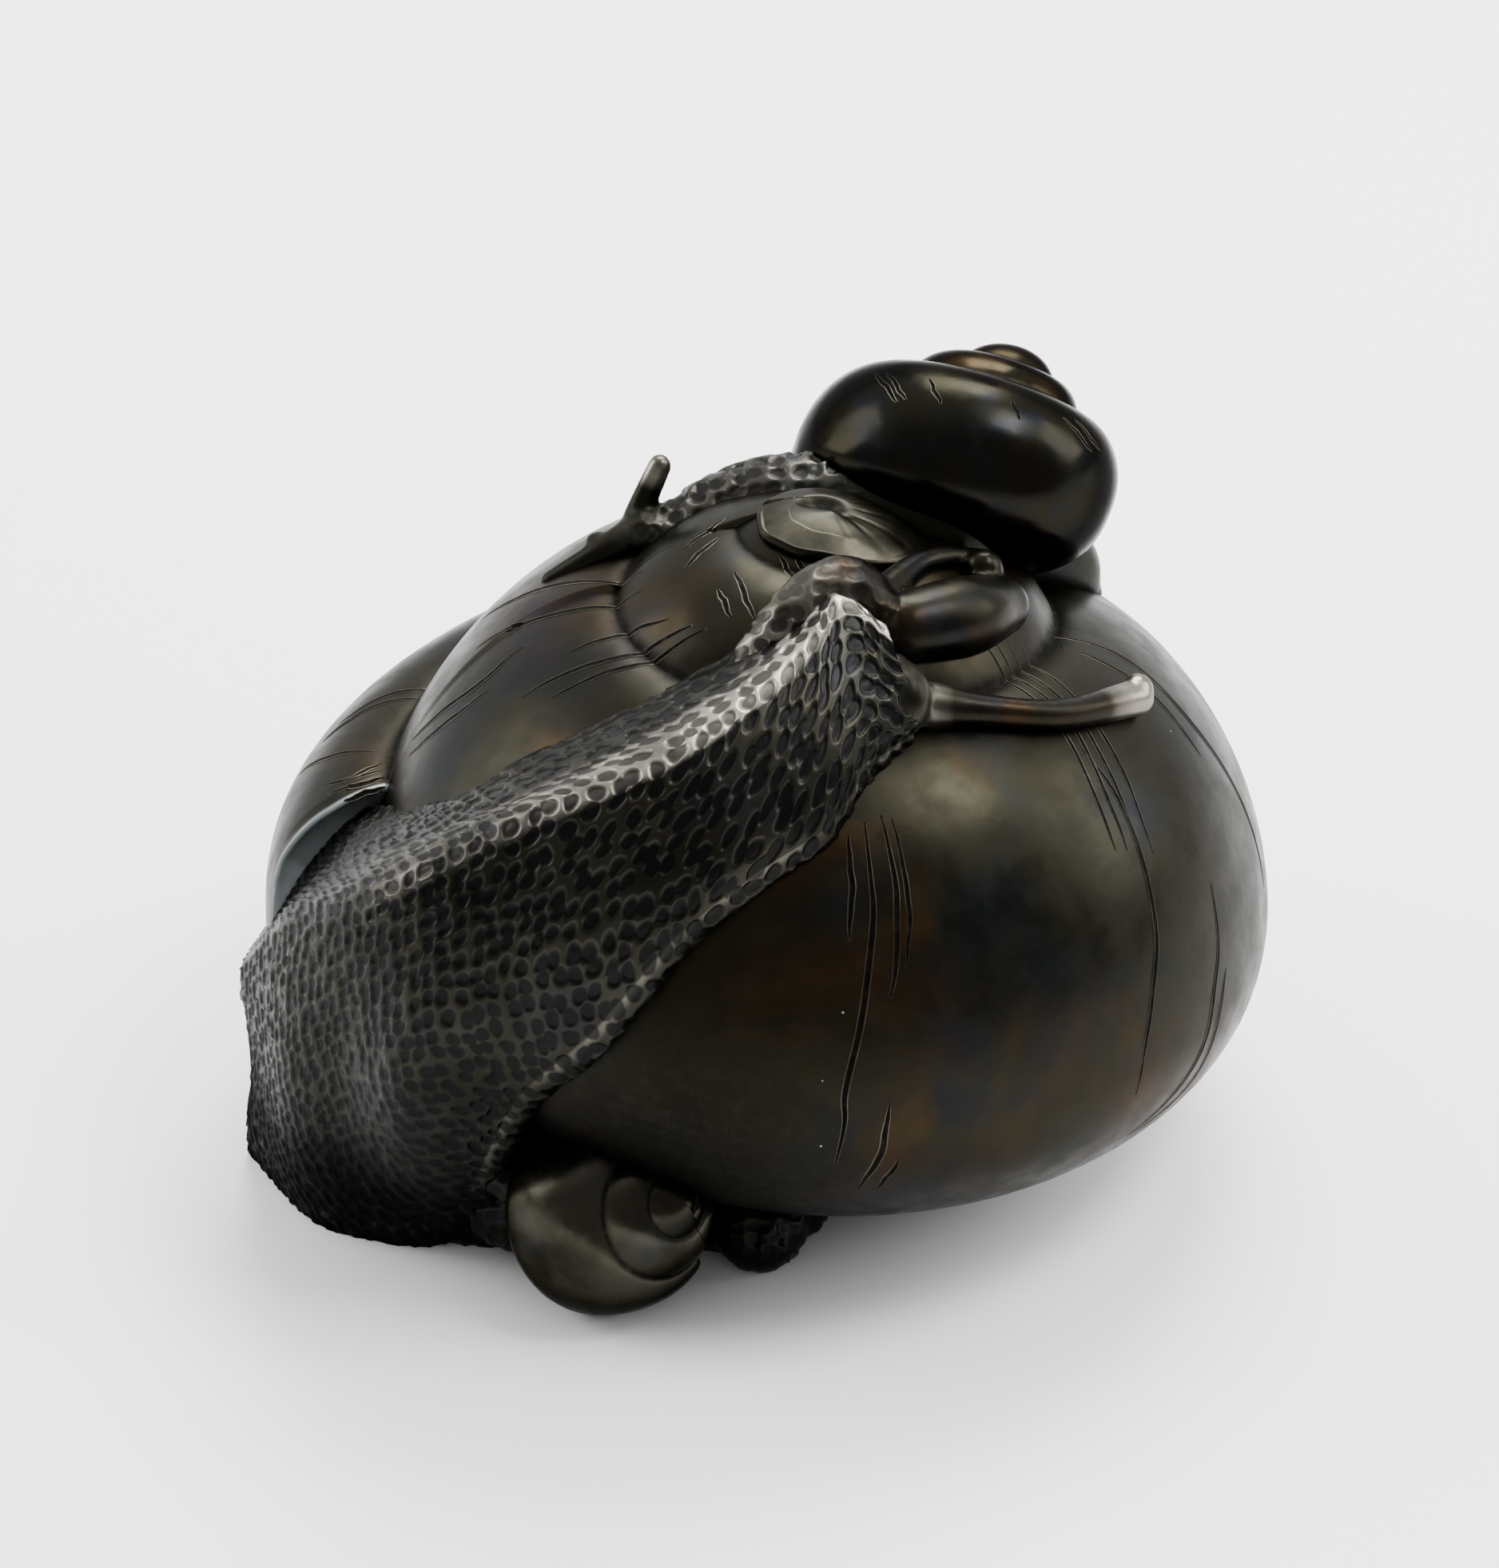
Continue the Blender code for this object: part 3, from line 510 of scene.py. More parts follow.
pit_x, pit_y = cap_x + 1.3 * MM, cap_y - 1.5 * MM
pit = np.exp(-((pit_x / (1.7 * MM)) ** 2 + (pit_y / (1.0 * MM)) ** 2) ** 2)
away = np.hypot(pit_x, pit_y)
fan = np.arctan2(pit_y, pit_x)
fan_reach = np.clip((away - 2.2 * MM) / MM, 0, 1) * np.clip(1.2 - abs(fan + 0.2), 0, 1)
fan_cut = (0.5 + 0.5 * np.cos(17 * fan)) ** 3 * fan_reach
inside = np.clip((0.9 - share) / 0.15, 0, 1)
cap_height = thick - (0.60 * pit + 0.05 * fan_cut * inside) * MM * (rise >= 1)
cap_rings = []
for xs, ys, ups in zip(cap_x, cap_y, cap_height):
    ring = []
    for x, y, up in zip(xs + cap_middle[0], ys + cap_middle[1], ups):
        hit = shell_tree.ray_cast(Vector((x, y, 2 * SHELL_HEIGHT)), Vector((0, 0, -1)))[0]
        ring.append((x, y, hit.z + up - GROUND_CUT))
    cap_rings.append(ring)
apex_cap = loft("apex_cap", cap_rings)
pit_mark = np.append(pit.ravel(), [0, 0])[:len(apex_cap.data.vertices)]
keep_on_points(apex_cap, "grime_and_painted_shade", pit_mark)
# Painted highlight: the front part of the cap's top, toward the camera, is made lighter through the wear
# mark; the rest of its top has a faint rub
front_highlight_and_rub = np.append((0.8 * front * (share > 0.6) * (rise >= 1) + 0.1 * (rise >= 1)).ravel(), [0, 0])
keep_on_points(apex_cap, "wear_and_painted_highlight", front_highlight_and_rub[:len(apex_cap.data.vertices)])
finish_piece(apex_cap, shell_bronze)

# The foot of the big snail. The real one is the thick flesh that leaves the shell's mouth, stands on the
# ground and lies up over the shell to the head, part of the casting, its whole skin worked with a round
# punch into shallow cells whose rims are rubbed bright.
FOOT_RIDGE = 7.0 * MM
SKIRT_THICKNESS = 1.2 * MM
# The foot's four rails: azimuth and latitude over the shell, then the lift off it in foot ridges
UPPER_EDGE = ((181, -8, 0.7), (183, 2, 0.3), (187, 12, 0.0), (196, 21, -0.2), (212, 33, 0.1), (218, 43, 0.1),
              (226, 53, 0.1), (238, 65, 0.1), (243, 77, 0.1), (270, 80, 0.15), (301, 73, 0.2))
RIDGE = ((190, -12, 1.45), (203, 4, 1.0), (219, 20, 1.05), (228, 30, 1.0), (235, 37, 1.0), (242, 42, 1.0),
         (252, 49, 1.0), (261, 56, 1.0), (271, 63, 1.0), (281, 69, 1.1), (291, 65, 0.95))
BELLY = ((191, -23, 1.8), (206, -14, 1.4), (215, -8, 1.0), (226, -3, 1.0), (236, 14, 0.6), (243, 25, 0.6),
         (253, 36, 0.6), (264, 44, 0.6), (273, 50, 0.6), (282, 56, 0.6), (293, 57, 0.5))
SKIRT = ((190, -34, 2.65), (204, -36, 2.35), (212, -40, 2.0), (221, -40, 1.2), (235, -13, 0.2),
         (246, 6, 0.1), (255, 25, 0.1), (265, 36, 0.1), (274, 42, 0.1), (282, 50, 0.1), (293, 55, 0.1))


def foot_rings(count, steps):
    """Rings round the foot. steps are the points on each stretch of a ring's eight-point cage."""
    rails = [spline([seat(az, lat, lift * FOOT_RIDGE) for az, lat, lift in rail], count)
             for rail in (UPPER_EDGE, RIDGE, BELLY, SKIRT)]
    upper, ridge, belly, skirt = rails

    def out(p):
        d = (p - (0, 0, SHELL_MIDDLE)) * (1, 1, SHELL_RADIUS / SHELL_MIDDLE)
        return d / np.linalg.norm(d, axis=1)[:, None]

    back, low = (upper + ridge) / 2, (upper + skirt) / 2
    far_out = np.linalg.norm((low - (0, 0, SHELL_MIDDLE)) * (1, 1, SHELL_RADIUS / SHELL_MIDDLE), axis=1)
    inwards = 0.9 * FOOT_RIDGE + np.maximum(far_out - SHELL_RADIUS, 0)
    cage = [upper - out(upper) * 2 * SKIRT_THICKNESS, upper, back + out(back) * 0.10 * FOOT_RIDGE, ridge,
            belly, skirt + (belly - skirt) * 0.15 + out(skirt) * 0.4 * SKIRT_THICKNESS,
            skirt - out(skirt) * 2 * SKIRT_THICKNESS, low - out(low) * inwards[:, None]]
    closed = np.array([cage[-1]] + cage + cage[:2])
    places = np.concatenate([1 + k + np.arange(n) / n for k, n in enumerate(steps)])
    return spline_at(closed, places).transpose(1, 0, 2)


DIMPLE_MM = 1.75
SMALL_DIMPLE_MM = 1.3
DIMPLE_DEPTH = 0.17 * MM
foot_steps = (4, 34, 30, 46, 46, 14, 5, 5)
rings = foot_rings(500, foot_steps)
rings[:, :, 2] -= GROUND_CUT
foot = loft("foot", rings)


def skin_places(rings, steps):
    """Where each point lies on the skin, counted in dimples: along the foot, and round from its ridge."""
    ridge = sum(steps[:3])
    along = np.linalg.norm(np.diff(rings, axis=0), axis=2)
    share = np.linspace(0, 1, len(rings))
    size = (SMALL_DIMPLE_MM + (DIMPLE_MM - SMALL_DIMPLE_MM) * np.clip(share * 2.5 - 0.1, 0, 1)) * MM
    down = np.concatenate([np.zeros((1, rings.shape[1])), np.cumsum(along / size[1:, None], 0)])
    down = down - down[len(rings) // 2]
    round_ring = np.linalg.norm(np.diff(rings, axis=1), axis=2)
    girth = np.concatenate([np.zeros((len(rings), 1)), np.cumsum(round_ring, 1)], 1)
    girth = (girth - girth[:, ridge:ridge + 1]) / size[:, None]
    return np.stack([down, girth, 0 * girth], -1).reshape(-1, 3)


def keep_places(piece, places):
    """Stores the places on the skin for the punch to read. The two end points take their rings' own."""
    layer = piece.data.attributes.new("skin_place", "FLOAT_VECTOR", "POINT")
    values = np.zeros((len(piece.data.vertices), 3))
    count = min(len(places), len(values))
    values[:count] = places[:count]
    layer.data.foreach_set("vector", values.ravel())


keep_places(foot, skin_places(rings, foot_steps))


def punched_skin_tree():
    """Geometry Nodes that sink round punch marks into a skin, as far as its points say it is punched."""
    tree = bpy.data.node_groups.new("punched_skin", "GeometryNodeTree")
    face = tree.interface
    face.new_socket("Geometry", in_out="INPUT", socket_type="NodeSocketGeometry")
    for label, value in (("Depth", DIMPLE_DEPTH), ("Unevenness", PUNCH_UNEVENNESS)):
        face.new_socket(label, in_out="INPUT", socket_type="NodeSocketFloat").default_value = value
    face.new_socket("Material", in_out="INPUT", socket_type="NodeSocketMaterial")
    face.new_socket("Geometry", in_out="OUTPUT", socket_type="NodeSocketGeometry")
    given = tree.nodes.new("NodeGroupInput").outputs
    place = node(tree, "GeometryNodeInputNamedAttribute", {"Name": "skin_place"},
                 data_type="FLOAT_VECTOR").outputs["Attribute"]
    sunk = punched_cells(tree, place, given["Unevenness"])
    uneven = node(tree, "ShaderNodeTexNoise", {"Vector": place, "Scale": 0.8, "Detail": 2.0}).outputs["Fac"]
    level = node(tree, "ShaderNodeMapRange", {"Value": uneven, "From Min": 0.25, "From Max": 0.7,
                                              "To Min": 0.6, "To Max": 1.2}).outputs["Result"]
    reach = node(tree, "GeometryNodeInputNamedAttribute", {"Name": "punch"},
                 data_type="FLOAT").outputs["Attribute"]
    amount = node(tree, "ShaderNodeMath", {0: sunk, 1: level}, operation="MULTIPLY").outputs[0]
    amount = node(tree, "ShaderNodeMath", {0: amount, 1: reach}, operation="MULTIPLY").outputs[0]
    amount = node(tree, "ShaderNodeMath", {0: amount, 1: given["Depth"]}, operation="MULTIPLY").outputs[0]
    normal = tree.nodes.new("GeometryNodeInputNormal").outputs["Normal"]
    inward = node(tree, "ShaderNodeVectorMath", {0: normal, "Scale": amount},
                  operation="SCALE").outputs["Vector"]
    inward = node(tree, "ShaderNodeVectorMath", {0: inward, 1: (-1.0, -1.0, -1.0)},
                  operation="MULTIPLY").outputs["Vector"]
    moved = node(tree, "GeometryNodeSetPosition", {"Geometry": given["Geometry"], "Offset": inward})
    real = node(tree, "GeometryNodeRealizeInstances", {"Geometry": moved.outputs["Geometry"]})
    done = node(tree, "GeometryNodeSetMaterial", {"Geometry": real.outputs["Geometry"],
                                                  "Material": given["Material"]})
    out = tree.nodes.new("NodeGroupOutput")
    tree.links.new(done.outputs["Geometry"], out.inputs["Geometry"])
    return tree


punched_skin = punched_skin_tree()


def punch(piece, material, reach, depth=DIMPLE_DEPTH):
    """Runs the punch over a piece whose skin places are stored, as deep as reach lets it."""
    keep_on_points(piece, "punch", reach)
    work = piece.modifiers.new("punched_skin", "NODES")
    work.node_group = punched_skin
    sockets = {item.name: item.identifier for item in punched_skin.interface.items_tree
               if item.item_type == "SOCKET" and item.in_out == "INPUT"}
    work[sockets["Depth"]] = depth
    work[sockets["Material"]] = material
    bpy.context.view_layer.update()
    mesh = bpy.data.meshes.new_from_object(piece.evaluated_get(bpy.context.evaluated_depsgraph_get()))
    piece.modifiers.clear()
    piece.data = mesh
    move_points(piece, points_of(piece))


# Patinated bronze worked with a punch: a dry olive ground, nearly black in each mark, silvery where rubbed
skin_bronze = patinated_bronze("punched_skin_bronze", "#161610", "#1c190f", "#101216", "#8c887e", "#060607",
                               roughness=0.36, mottle_mm=12, warmth=0.4, speck=0.3, punched=True)
punch(foot, skin_bronze, np.ones(len(foot.data.vertices)))
share_along = np.repeat(np.linspace(0, 1, len(rings)), rings.shape[1])
rows_round = np.tile(np.arange(rings.shape[1]), len(rings))
ridge_row, skirt_row = sum(foot_steps[:3]), sum(foot_steps[:5])
on_ridge = (np.clip((rows_round - ridge_row + 28) / 10, 0, 1)
            * np.clip((ridge_row + 5 - rows_round) / 4, 0, 1))
wear = 0.02 + 0.03 * share_along + 0.85 * on_ridge * np.clip(share_along * 2.2 - 0.3, 0, 1)
wear = np.maximum(wear, 0.25 * np.exp(-((rows_round - skirt_row) / 2.0) ** 2))
wear = np.maximum(wear, 0.45 * (rows_round < ridge_row + 7) * np.clip((share_along - 0.8) / 0.1, 0, 1))
keep_on_points(foot, "wear_and_painted_highlight", np.append(np.clip(wear, 0, 1), [0.3, 0.8]))
# Painted shade: the foot turns darker and more matt from 15 mm down towards the ground, standing in for the
# shaded paper that its underside faces
low = np.clip((15 * MM - points_of(foot)[:, 2]) / (10 * MM), 0, 1)
keep_on_points(foot, "grime_and_painted_shade", 0.95 * low * low * (3 - 2 * low))
finish_piece(foot, skin_bronze)

# The head and tentacles of the big snail. The real ones are modelled in the same wax: a worn crest over
# the mouth, a hollow bump where the far tentacle starts, and two tentacles that lie out over the shell.
TENTACLE_RADIUS = 1.5 * MM
FAR_TENTACLE_RADIUS = 1.3 * MM
EYE_RADIUS = 1.6 * MM


def tube(name, points, radii, sides=40, rings=90, flat=1.0):
    """A round limb along a few points, with a radius at each and rounded ends."""
    path = spline(points, rings)
    path[:, 2] -= GROUND_CUT
    girth = spline(np.asarray(radii).reshape(-1, 1), rings)[:, 0]
    along = np.gradient(path, axis=0)
    along /= np.linalg.norm(along, axis=1)[:, None]
    side = np.cross(along[0], [0, 0, 1.0])
    ends = np.radians((84, 72, 60, 48, 36, 24, 12))
    order = [(0, math.cos(a), -math.sin(a)) for a in ends]
    order += [(i, 1.0, 0.0) for i in range(rings)]
    order += [(rings - 1, math.cos(a), math.sin(a)) for a in ends[::-1]]
    turn = np.linspace(0, 2 * math.pi, sides, endpoint=False)[:, None]
    made = []
    for i, shrink, push in order:
        side = side - along[i] * side.dot(along[i])
        side /= np.linalg.norm(side)
        up = np.cross(side, along[i])
        centre = path[i] + along[i] * girth[i] * push
        made.append(centre + girth[i] * shrink * (side * np.cos(turn) + up * flat * np.sin(turn)))
    return loft(name, made)


def lump(name, centre, radii, turn=0.0, lean=0.0, segments=72, rings=44):
    """A swelling of the flesh: a ball stretched to three radii and turned about Z, then leaned about Y."""
    bm = bmesh.new()
    bmesh.ops.create_uvsphere(bm, u_segments=segments, v_segments=rings, radius=1.0)
    place = Matrix.Translation(Vector(centre) - Vector((0, 0, GROUND_CUT)))
    turned = Matrix.Rotation(math.radians(turn), 4, "Z") @ Matrix.Rotation(math.radians(lean), 4, "Y")
    bmesh.ops.transform(bm, matrix=place @ turned @ Matrix.Diagonal(Vector((*radii, 1.0))), verts=bm.verts)
    mesh = bpy.data.meshes.new(name)
    bm.to_mesh(mesh)
    bm.free()
    mesh.shade_smooth()
    piece = bpy.data.objects.new(name, mesh)
    bpy.context.scene.collection.objects.link(piece)
    return piece


def fused(name, parts, grain=0.28 * MM, smooth=6):
    """Forms that run into each other in the casting, joined under one skin and softened where they meet."""
    bm = bmesh.new()
    for part in parts:
        bm.from_mesh(part.data)
        bpy.data.objects.remove(part, do_unlink=True)
    mesh = bpy.data.meshes.new(name)
    bm.to_mesh(mesh)
    bm.free()
    piece = bpy.data.objects.new(name, mesh)
    bpy.context.scene.collection.objects.link(piece)
    skin = piece.modifiers.new("one_skin", "REMESH")
    skin.mode = "VOXEL"
    skin.voxel_size = grain
    soften = piece.modifiers.new("soften", "SMOOTH")
    soften.iterations = smooth
    soften.factor = 0.5
    bpy.context.view_layer.update()
    mesh = bpy.data.meshes.new_from_object(piece.evaluated_get(bpy.context.evaluated_depsgraph_get()))
    piece.modifiers.clear()
    piece.data = mesh
    mesh.shade_smooth()
    move_points(piece, points_of(piece))
    return piece


def place_from_front(piece, size_mm):
    """Stores skin places on a piece whose flesh faces up and forwards, laid on it straight from there."""
    points = points_of(piece) / (size_mm * MM)
    keep_places(piece, np.stack([points[:, 0], (points[:, 1] + points[:, 2]) * 0.75, 0 * points[:, 0]], 1))


def near_places(points, places, reach_mm):
    """1 at some places on the shell, fading to 0 at a reach from them."""
    spots = np.array([on_shell(*place) for place in places]) - (0, 0, GROUND_CUT)
    off = np.linalg.norm(points[:, None] - spots, axis=2).min(1) / (reach_mm * MM)
    return np.clip(1.6 - 1.6 * off, 0, 1)


R = FOOT_RIDGE
T = TENTACLE_RADIUS
F = FAR_TENTACLE_RADIUS
hood_path = [on_shell(256.8, 66.9, 0.12 * R), on_shell(269.2, 71.6, 0.18 * R),
             on_shell(285.5, 73.8, 0.22 * R), on_shell(293.8, 71.5, 0.14 * R)]
cheek_path = [on_shell(298, 69.5, 0.02 * R), on_shell(306, 69, 0.02 * R), on_shell(324, 67.5, 0.02 * R),
              on_shell(343, 65.5, -0.06 * R)]
near_path = [on_shell(300, 59, 0.8 * T), on_shell(311, 55.5, 0.7 * T), on_shell(325, 50, 0.7 * T),
             on_shell(343, 44, 0.7 * T)]
far_path = [on_shell(301, 73.5, 0.3 * F), on_shell(329, 75.4, 0.2 * F), on_shell(345, 73.2, 0.2 * F),
            on_shell(353, 69.5, 0.2 * F)]
head = fused("head_and_tentacles", [
    tube("head_top", hood_path, [0.26 * R, 0.38 * R, 0.42 * R, 0.34 * R]),
    lump("mouth", on_shell(293, 60.5, 0.3 * R), (0.30 * R, 0.45 * R, 0.42 * R), 20, 10),
    lump("knob", on_shell(292, 62.5, 0.45 * R), (0.18 * R, 0.24 * R, 0.22 * R)),
    tube("cheek", cheek_path, [0.34 * R, 0.42 * R, 0.46 * R, 0.36 * R]),
    tube("near_tentacle", near_path, [1.25 * T, 0.85 * T, 0.8 * T, 1.0 * T]),
    lump("near_tip", on_shell(344, 44.4, 0.9 * T), (0.9 * T, 0.9 * T, 1.0 * T)),
    tube("far_tentacle", far_path, [1.2 * F, 0.8 * F, 0.75 * F, 0.9 * F]),
    lump("eye", on_shell(346, 69, 0.6 * EYE_RADIUS), (EYE_RADIUS,) * 3),
])
place_from_front(head, 1.5)
head_points = points_of(head)
rough_part = near_places(head_points, ((256.8, 66.9), (263, 69.5), (270, 71), (278, 71)), 7.0)
# Patinated bronze, much handled: the same patina, smoother and browner, worn through to pale metal
head_bronze = patinated_bronze("rubbed_skin_bronze", "#171610", "#241a10", "#131419", "#8a857a", "#060605",
                               roughness=0.33, mottle_mm=6, warmth=0.6, speck=0.3, punched=True)
punch(head, head_bronze, rough_part)
rubbed_part = near_places(points_of(head), ((262, 69), (270, 71.5), (277, 72.5), (293, 61), (343, 45)), 5.0)
keep_on_points(head, "wear_and_painted_highlight", 0.8 * rubbed_part)
finish_piece(head, head_bronze)

# The top snail. The real one is cast on the apex of the big shell: a glossy small shell that leans back
# to the right over a dark body, with a rough neck and a short stub of tentacle out to the left.
TOP_SHELL_RADIUS = 15.3 * MM
TOP_SHELL_HEIGHT = 18.5 * MM
TOP_NECK_RADIUS = 4.2 * MM


def set_on_axis(piece, base, axis, mouth, hand=1):
    """Stands a shell on a base point, with its apex along an axis and its mouth on one side of it."""
    up = Vector(axis).normalized()
    side = (Vector(mouth) - up * Vector(mouth).dot(up)).normalized()
    turn = Matrix((side, up.cross(side) * hand, up)).transposed().to_4x4()
    piece.data.transform(Matrix.Translation(Vector(base) - Vector((0, 0, GROUND_CUT))) @ turn)
    if hand < 0:
        piece.data.flip_normals()
    move_points(piece, points_of(piece))
    return piece


def small_spiral(name, radius, height, widest, flare, growth, start, doming, columns=260,
                 rows=(20, 10, 16)):
    return spiral_shell(name, radius, height, widest * height, flare * radius, 0, 0.15 * radius, 3,
                        np.linspace(0, 1, columns + 1)[:-1], rows, growth=growth, start=start, oval=0,
                        doming=doming, fullness=2.1, suture=62, shear=0, painted_mouth_reflection=0.25)


top_base = np.array([0.317, 0.206, 1.294]) * SHELL_RADIUS
top_shell = small_spiral("top_shell", TOP_SHELL_RADIUS, TOP_SHELL_HEIGHT, 0.26, 0.13, 1.75, 1 / 1.75, 1.0)
set_on_axis(top_shell, top_base, axis=(0.350, 0.552, 0.757), mouth=(-0.95, 0.3, 0), hand=-1)
# Patinated bronze, burnished: nearly black and glossy, with sharp lights on its turns
top_bronze = patinated_bronze("top_shell_polished_bronze", "#171610", "#241d13", "#13151a", "#4c4a40",
                              "#070605", roughness=0.22, mottle_mm=9, warmth=0.5, speck=0.4, edge=0.4)
finish_piece(top_shell, top_bronze)
# Short cuts across its big whorl, by their places in millimetres on the photograph's plane
TOP_CUTS = (((10.0, 32.8), (11.7, 30.1)), ((10.9, 32.8), (12.4, 30.3)), ((14.2, 32.1), (15.1, 29.9)),
            ((20.7, 30.3), (21.3, 28.7)), ((24.9, 29.1), (27.3, 26.4)), ((25.9, 29.0), (28.0, 26.6)))
top_tree = BVHTree.FromPolygons([v.co for v in top_shell.data.vertices],
                                [tuple(face.vertices) for face in top_shell.data.polygons])
top_cuts = [(front_hits(top_tree, places), 0.3, 0.24) for places in TOP_CUTS]
finish_piece(chisel_marks("top_shell_lines", top_cuts), top_bronze)

# The top snail's body. The real one is part of the casting: flesh under the small shell, with a punched neck
# to the left, a stub of tentacle on a ledge, a feeler, and a tail down the big shell behind.
N = TOP_NECK_RADIUS
neck_path = [on_shell(30, 72, -0.25 * N), on_shell(90, 80, -0.5 * N), on_shell(125, 76, -0.48 * N),
             on_shell(150, 71, -0.35 * N)]
tail_path = [on_shell(40, 70, -0.5 * N), on_shell(36, 58), on_shell(34, 46, 0.3 * N),
             on_shell(33, 38, -0.1 * N)]
stub_path = [np.array(place) * MM for place in ((-13.4, 6.0, 49.8), (-12.8, 6.6, 53.0), (-11.2, 7.6, 56.6))]
feeler_path = [on_shell(156, 70, 0.15 * N), on_shell(165, 65), on_shell(169, 58, -0.1 * N)]
top_body = fused("top_snail_body", [
    tube("top_neck", neck_path, [1.5 * N, 1.1 * N, 1.0 * N, 0.8 * N]),
    tube("top_tail", tail_path, [1.5 * N, 1.2 * N, 0.8 * N, 0.3 * N]),
    tube("top_stub", stub_path, [0.45 * N, 0.28 * N, 0.23 * N]),
    lump("top_ledge", np.array([-14.2, 5.2, 50.2]) * MM, (0.75 * N, 0.4 * N, 0.3 * N), lean=20),
    tube("top_feeler", feeler_path, [0.5 * N, 0.32 * N, 0.22 * N]),
])
place_from_front(top_body, 1.6)
neck_part = near_places(points_of(top_body), ((60, 76), (90, 80), (125, 76), (140, 73)), 7.5)
stub_line = spline(stub_path, 12)[2:] - (0, 0, GROUND_CUT)
off_stub = np.linalg.norm(points_of(top_body)[:, None] - stub_line, axis=2).min(1) / MM
neck_part = neck_part * np.clip(off_stub - 1.6, 0, 1)
punch(top_body, skin_bronze, neck_part, 0.25 * MM)
stub_end = stub_line[-1]
tip = np.linalg.norm(points_of(top_body) - stub_end, axis=1) / MM
keep_on_points(top_body, "wear_and_painted_highlight", np.maximum(0.12 * neck_part, np.clip(2.2 - tip, 0, 1)))
finish_piece(top_body, skin_bronze)

# The small snail at the front. The real one is cast against the foot's left margin: a glossy shell seen on
# its spire, with its soft head and tail spread to both sides of it.
SMALL_SHELL_RADIUS = 8.2 * MM
SMALL_SHELL_HEIGHT = 15 * MM
SMALL_HEAD_RADIUS = 4 * MM
small_base = np.array([-0.489, -0.637, 0.159]) * SHELL_RADIUS
small_shell = small_spiral("small_shell", SMALL_SHELL_RADIUS, SMALL_SHELL_HEIGHT, 0.28, 0.05, 1.95, 0.85,
                           1.5)
set_on_axis(small_shell, small_base, axis=(0.60, -0.62, 0.505), mouth=(0.6, 0, -0.8))
keep_on_points(small_shell, "wear_and_painted_highlight", np.full(len(small_shell.data.vertices), 0.3))
finish_piece(small_shell, top_bronze)

# The small snail's body. The real one is part of the casting too: a round head with a feeler and an eye, a
# back and a foot, lightly punched all over.
S = SMALL_HEAD_RADIUS
small_head = np.array([-0.086, -0.629, 0.121]) * SHELL_RADIUS
far_lobe = small_head + np.array([0.6, 0.75, 0.0]) * S
small_back = small_head + np.array([-1.2, 1.0, -0.2]) * S
SMALL_TENTACLE = ((0.1, -0.5, 0.75), (0.2, -0.85, 0.45), (0.1, -1.0, 0.0))
small_tail = small_head + np.array([-6.0, 1.0, -0.4]) * S
small_body = fused("small_snail_body", [
    lump("small_head", small_head, (S, 0.95 * S, 1.05 * S)),
    lump("small_cheek", far_lobe, (0.85 * S, 0.8 * S, 0.9 * S)),
    lump("small_back", small_base + np.array([0, 0.8, -0.1]) * S, (2.5 * S, 1.5 * S, 1.4 * S)),
    lump("small_mantle", small_base + np.array([-1.0, 0.2, 1.15]) * S, (0.9 * S, 1.3 * S, 0.75 * S),
         lean=-15),
    tube("small_foot", [small_tail, (small_tail + small_back) / 2, small_back, small_head],
         [0.75 * S, S, S, 0.8 * S]),
    tube("small_tentacle", [small_head + np.array(place) * S for place in SMALL_TENTACLE],
         [0.16 * S, 0.15 * S, 0.13 * S]),
    lump("small_eye", small_head + np.array([0.42, -0.88, 0.05]) * S, (0.13 * S,) * 3),
])
place_from_front(small_body, 1.2)
punch(small_body, skin_bronze, np.full(len(small_body.data.vertices), 0.8))
finish_piece(small_body, skin_bronze)

# The photographer's table: a wide sheet of white paper, four soft boxes round it, and a room that is pale
# behind and above and darker behind the camera.
FLOOR_SIZE = 3.0
bm = bmesh.new()
bmesh.ops.create_grid(bm, x_segments=2, y_segments=2, size=FLOOR_SIZE / 2)
mesh = bpy.data.meshes.new("white_sweep")
bm.to_mesh(mesh)
bm.free()
floor = bpy.data.objects.new("white_sweep", mesh)
bpy.context.scene.collection.objects.link(floor)
# Background paper: matt and near white, so that it takes only soft shadows
paper = bpy.data.materials.new("matt_white_paper")
paper.use_nodes = True
paper_shader = paper.node_tree.nodes["Principled BSDF"]
paper_shader.inputs["Base Color"].default_value = linear("#f4f4f4")
paper_shader.inputs["Roughness"].default_value = 0.8
floor.data.materials.append(paper)


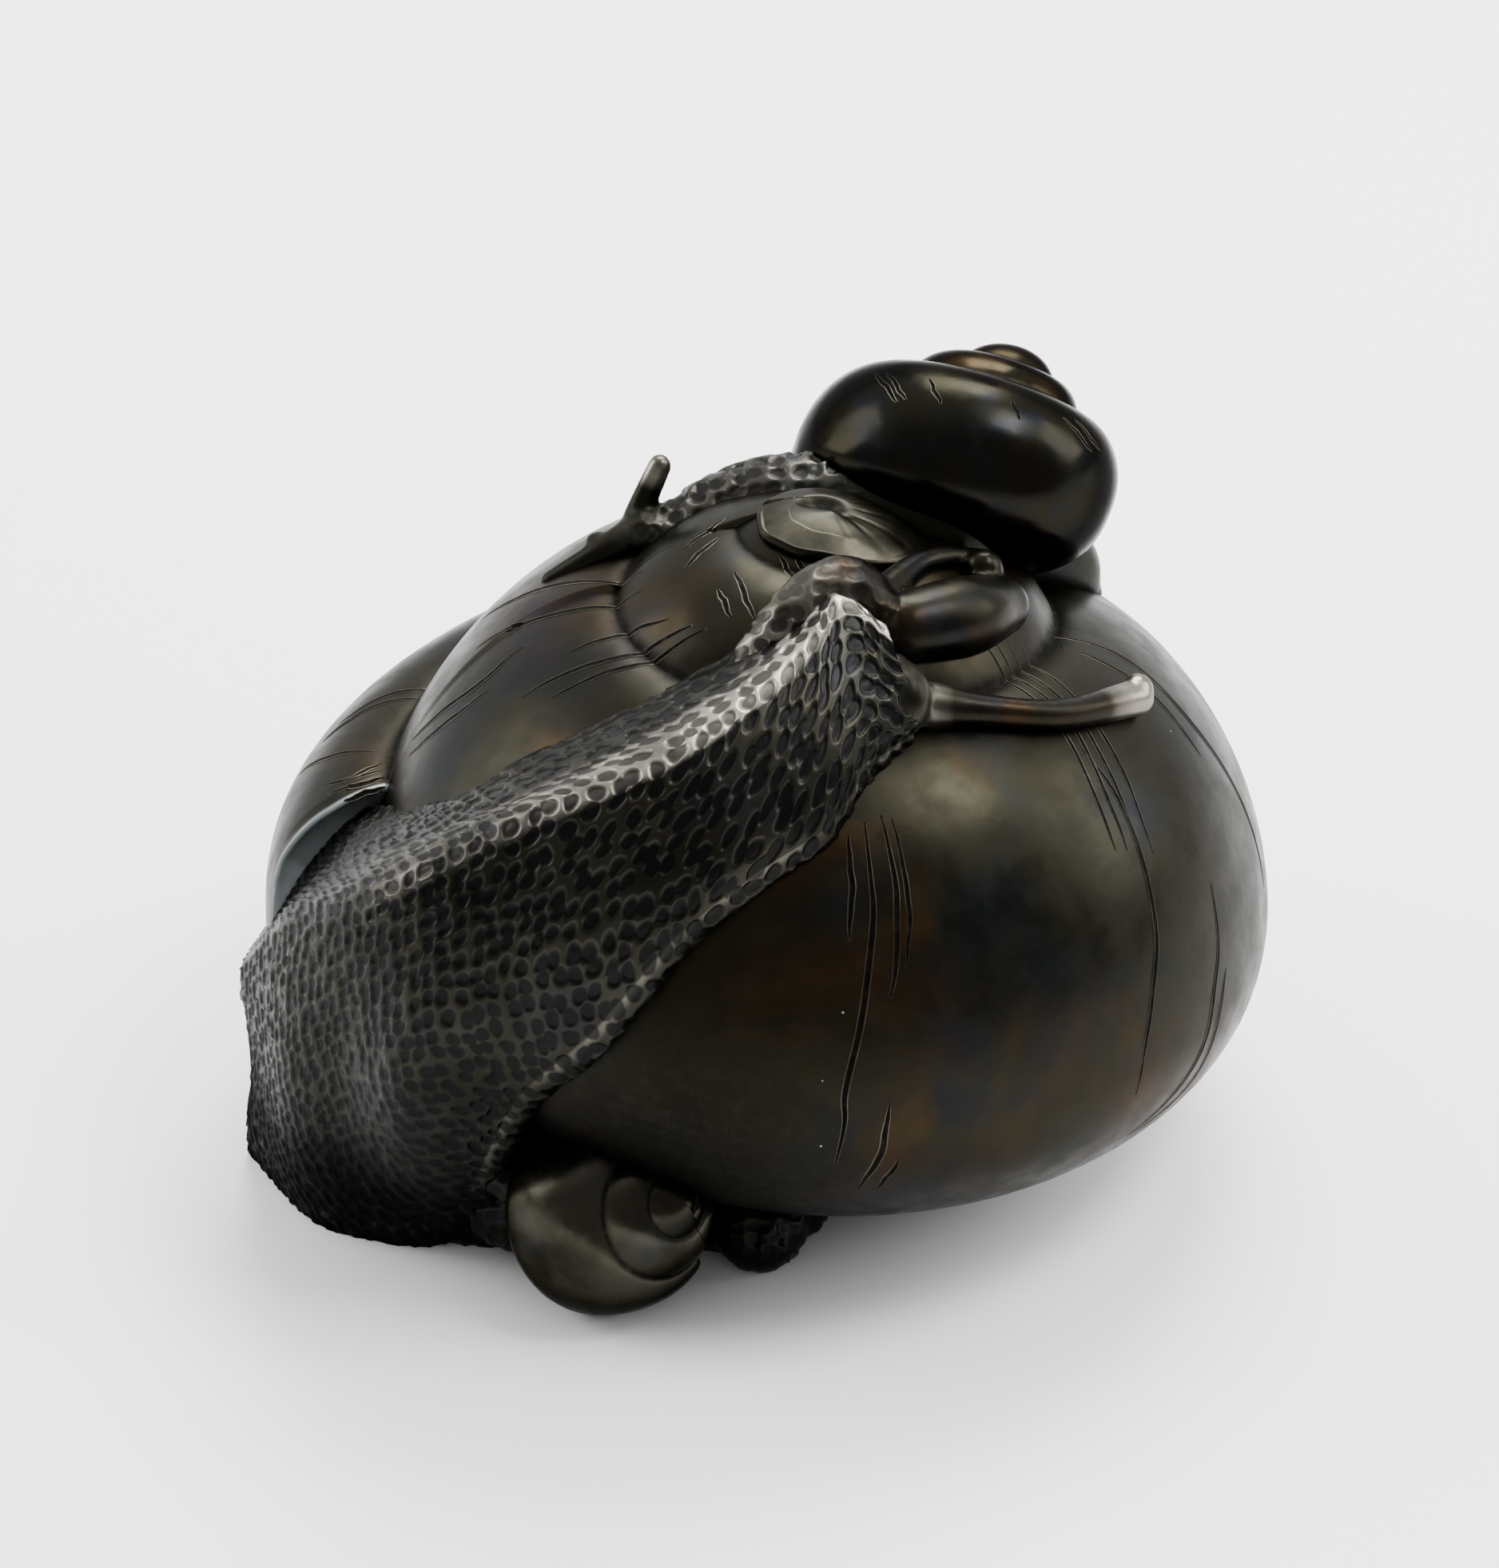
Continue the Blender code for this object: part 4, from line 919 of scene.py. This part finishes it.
def soft_box(name, towards, distance, size, watts):
    """A square soft light that looks at the group from a direction."""
    light = bpy.data.lights.new(name, "AREA")
    light.shape = "RECTANGLE"
    light.size, light.size_y = size
    light.energy = watts
    lamp = bpy.data.objects.new(name, light)
    direction = Vector(towards).normalized()
    lamp.location = AIM + direction * distance
    lamp.rotation_euler = direction.to_track_quat("Z", "Y").to_euler()
    bpy.context.scene.collection.objects.link(lamp)


AIM = Vector(PICTURE_MIDDLE)
soft_box("overhead_box", (0.5, -0.1, 0.85), 0.6, (0.22, 0.2), 3.5)
soft_box("back_box", (0.1, 0.55, 0.8), 0.65, (0.34, 0.28), 9.0)
soft_box("right_box", (1, 0.1, 0.5), 0.7, (0.3, 0.4), 4.0)
soft_box("left_rim_box", (-1, 0.25, 0.45), 0.7, (0.3, 0.5), 4.0)

room = bpy.data.worlds.new("white_room")
room.use_nodes = True
background = room.node_tree.nodes["Background"]
background.inputs["Color"].default_value = linear("#ffffff")
heading = room.node_tree.nodes.new("ShaderNodeTexCoord").outputs["Generated"]
away = node(room.node_tree, "ShaderNodeVectorMath", {0: heading, 1: (0.0, 0.85, 0.53)},
            operation="DOT_PRODUCT").outputs["Value"]
wall = node(room.node_tree, "ShaderNodeMapRange",
            {"Value": away, "From Min": -0.1, "From Max": 0.8, "To Min": 0.6, "To Max": 2.4},
            interpolation_type="SMOOTHSTEP")
room.node_tree.links.new(wall.outputs["Result"], background.inputs["Strength"])
bpy.context.scene.world = room

# The camera stands at the photograph's place, 30 degrees above the table. The picture is 1963 pixels high,
# and a pixel is 0.0651 mm at the middle of the group.
CAMERA_DISTANCE = 0.380
SENSOR_MM = 36
CAMERA_HEIGHT_ANGLE = math.radians(30)
PICTURE_HEIGHT = 1963 * 0.0651 * MM
camera = bpy.data.objects.new("camera", bpy.data.cameras.new("camera"))
back = Vector((0, -math.cos(CAMERA_HEIGHT_ANGLE), math.sin(CAMERA_HEIGHT_ANGLE)))
camera.location = AIM + back * CAMERA_DISTANCE
camera.rotation_euler = back.to_track_quat("Z", "Y").to_euler()
camera.data.sensor_fit = "VERTICAL"
camera.data.sensor_height = SENSOR_MM
camera.data.lens = SENSOR_MM * CAMERA_DISTANCE / PICTURE_HEIGHT
camera.data.clip_start = 0.01
bpy.context.scene.collection.objects.link(camera)
bpy.context.scene.camera = camera
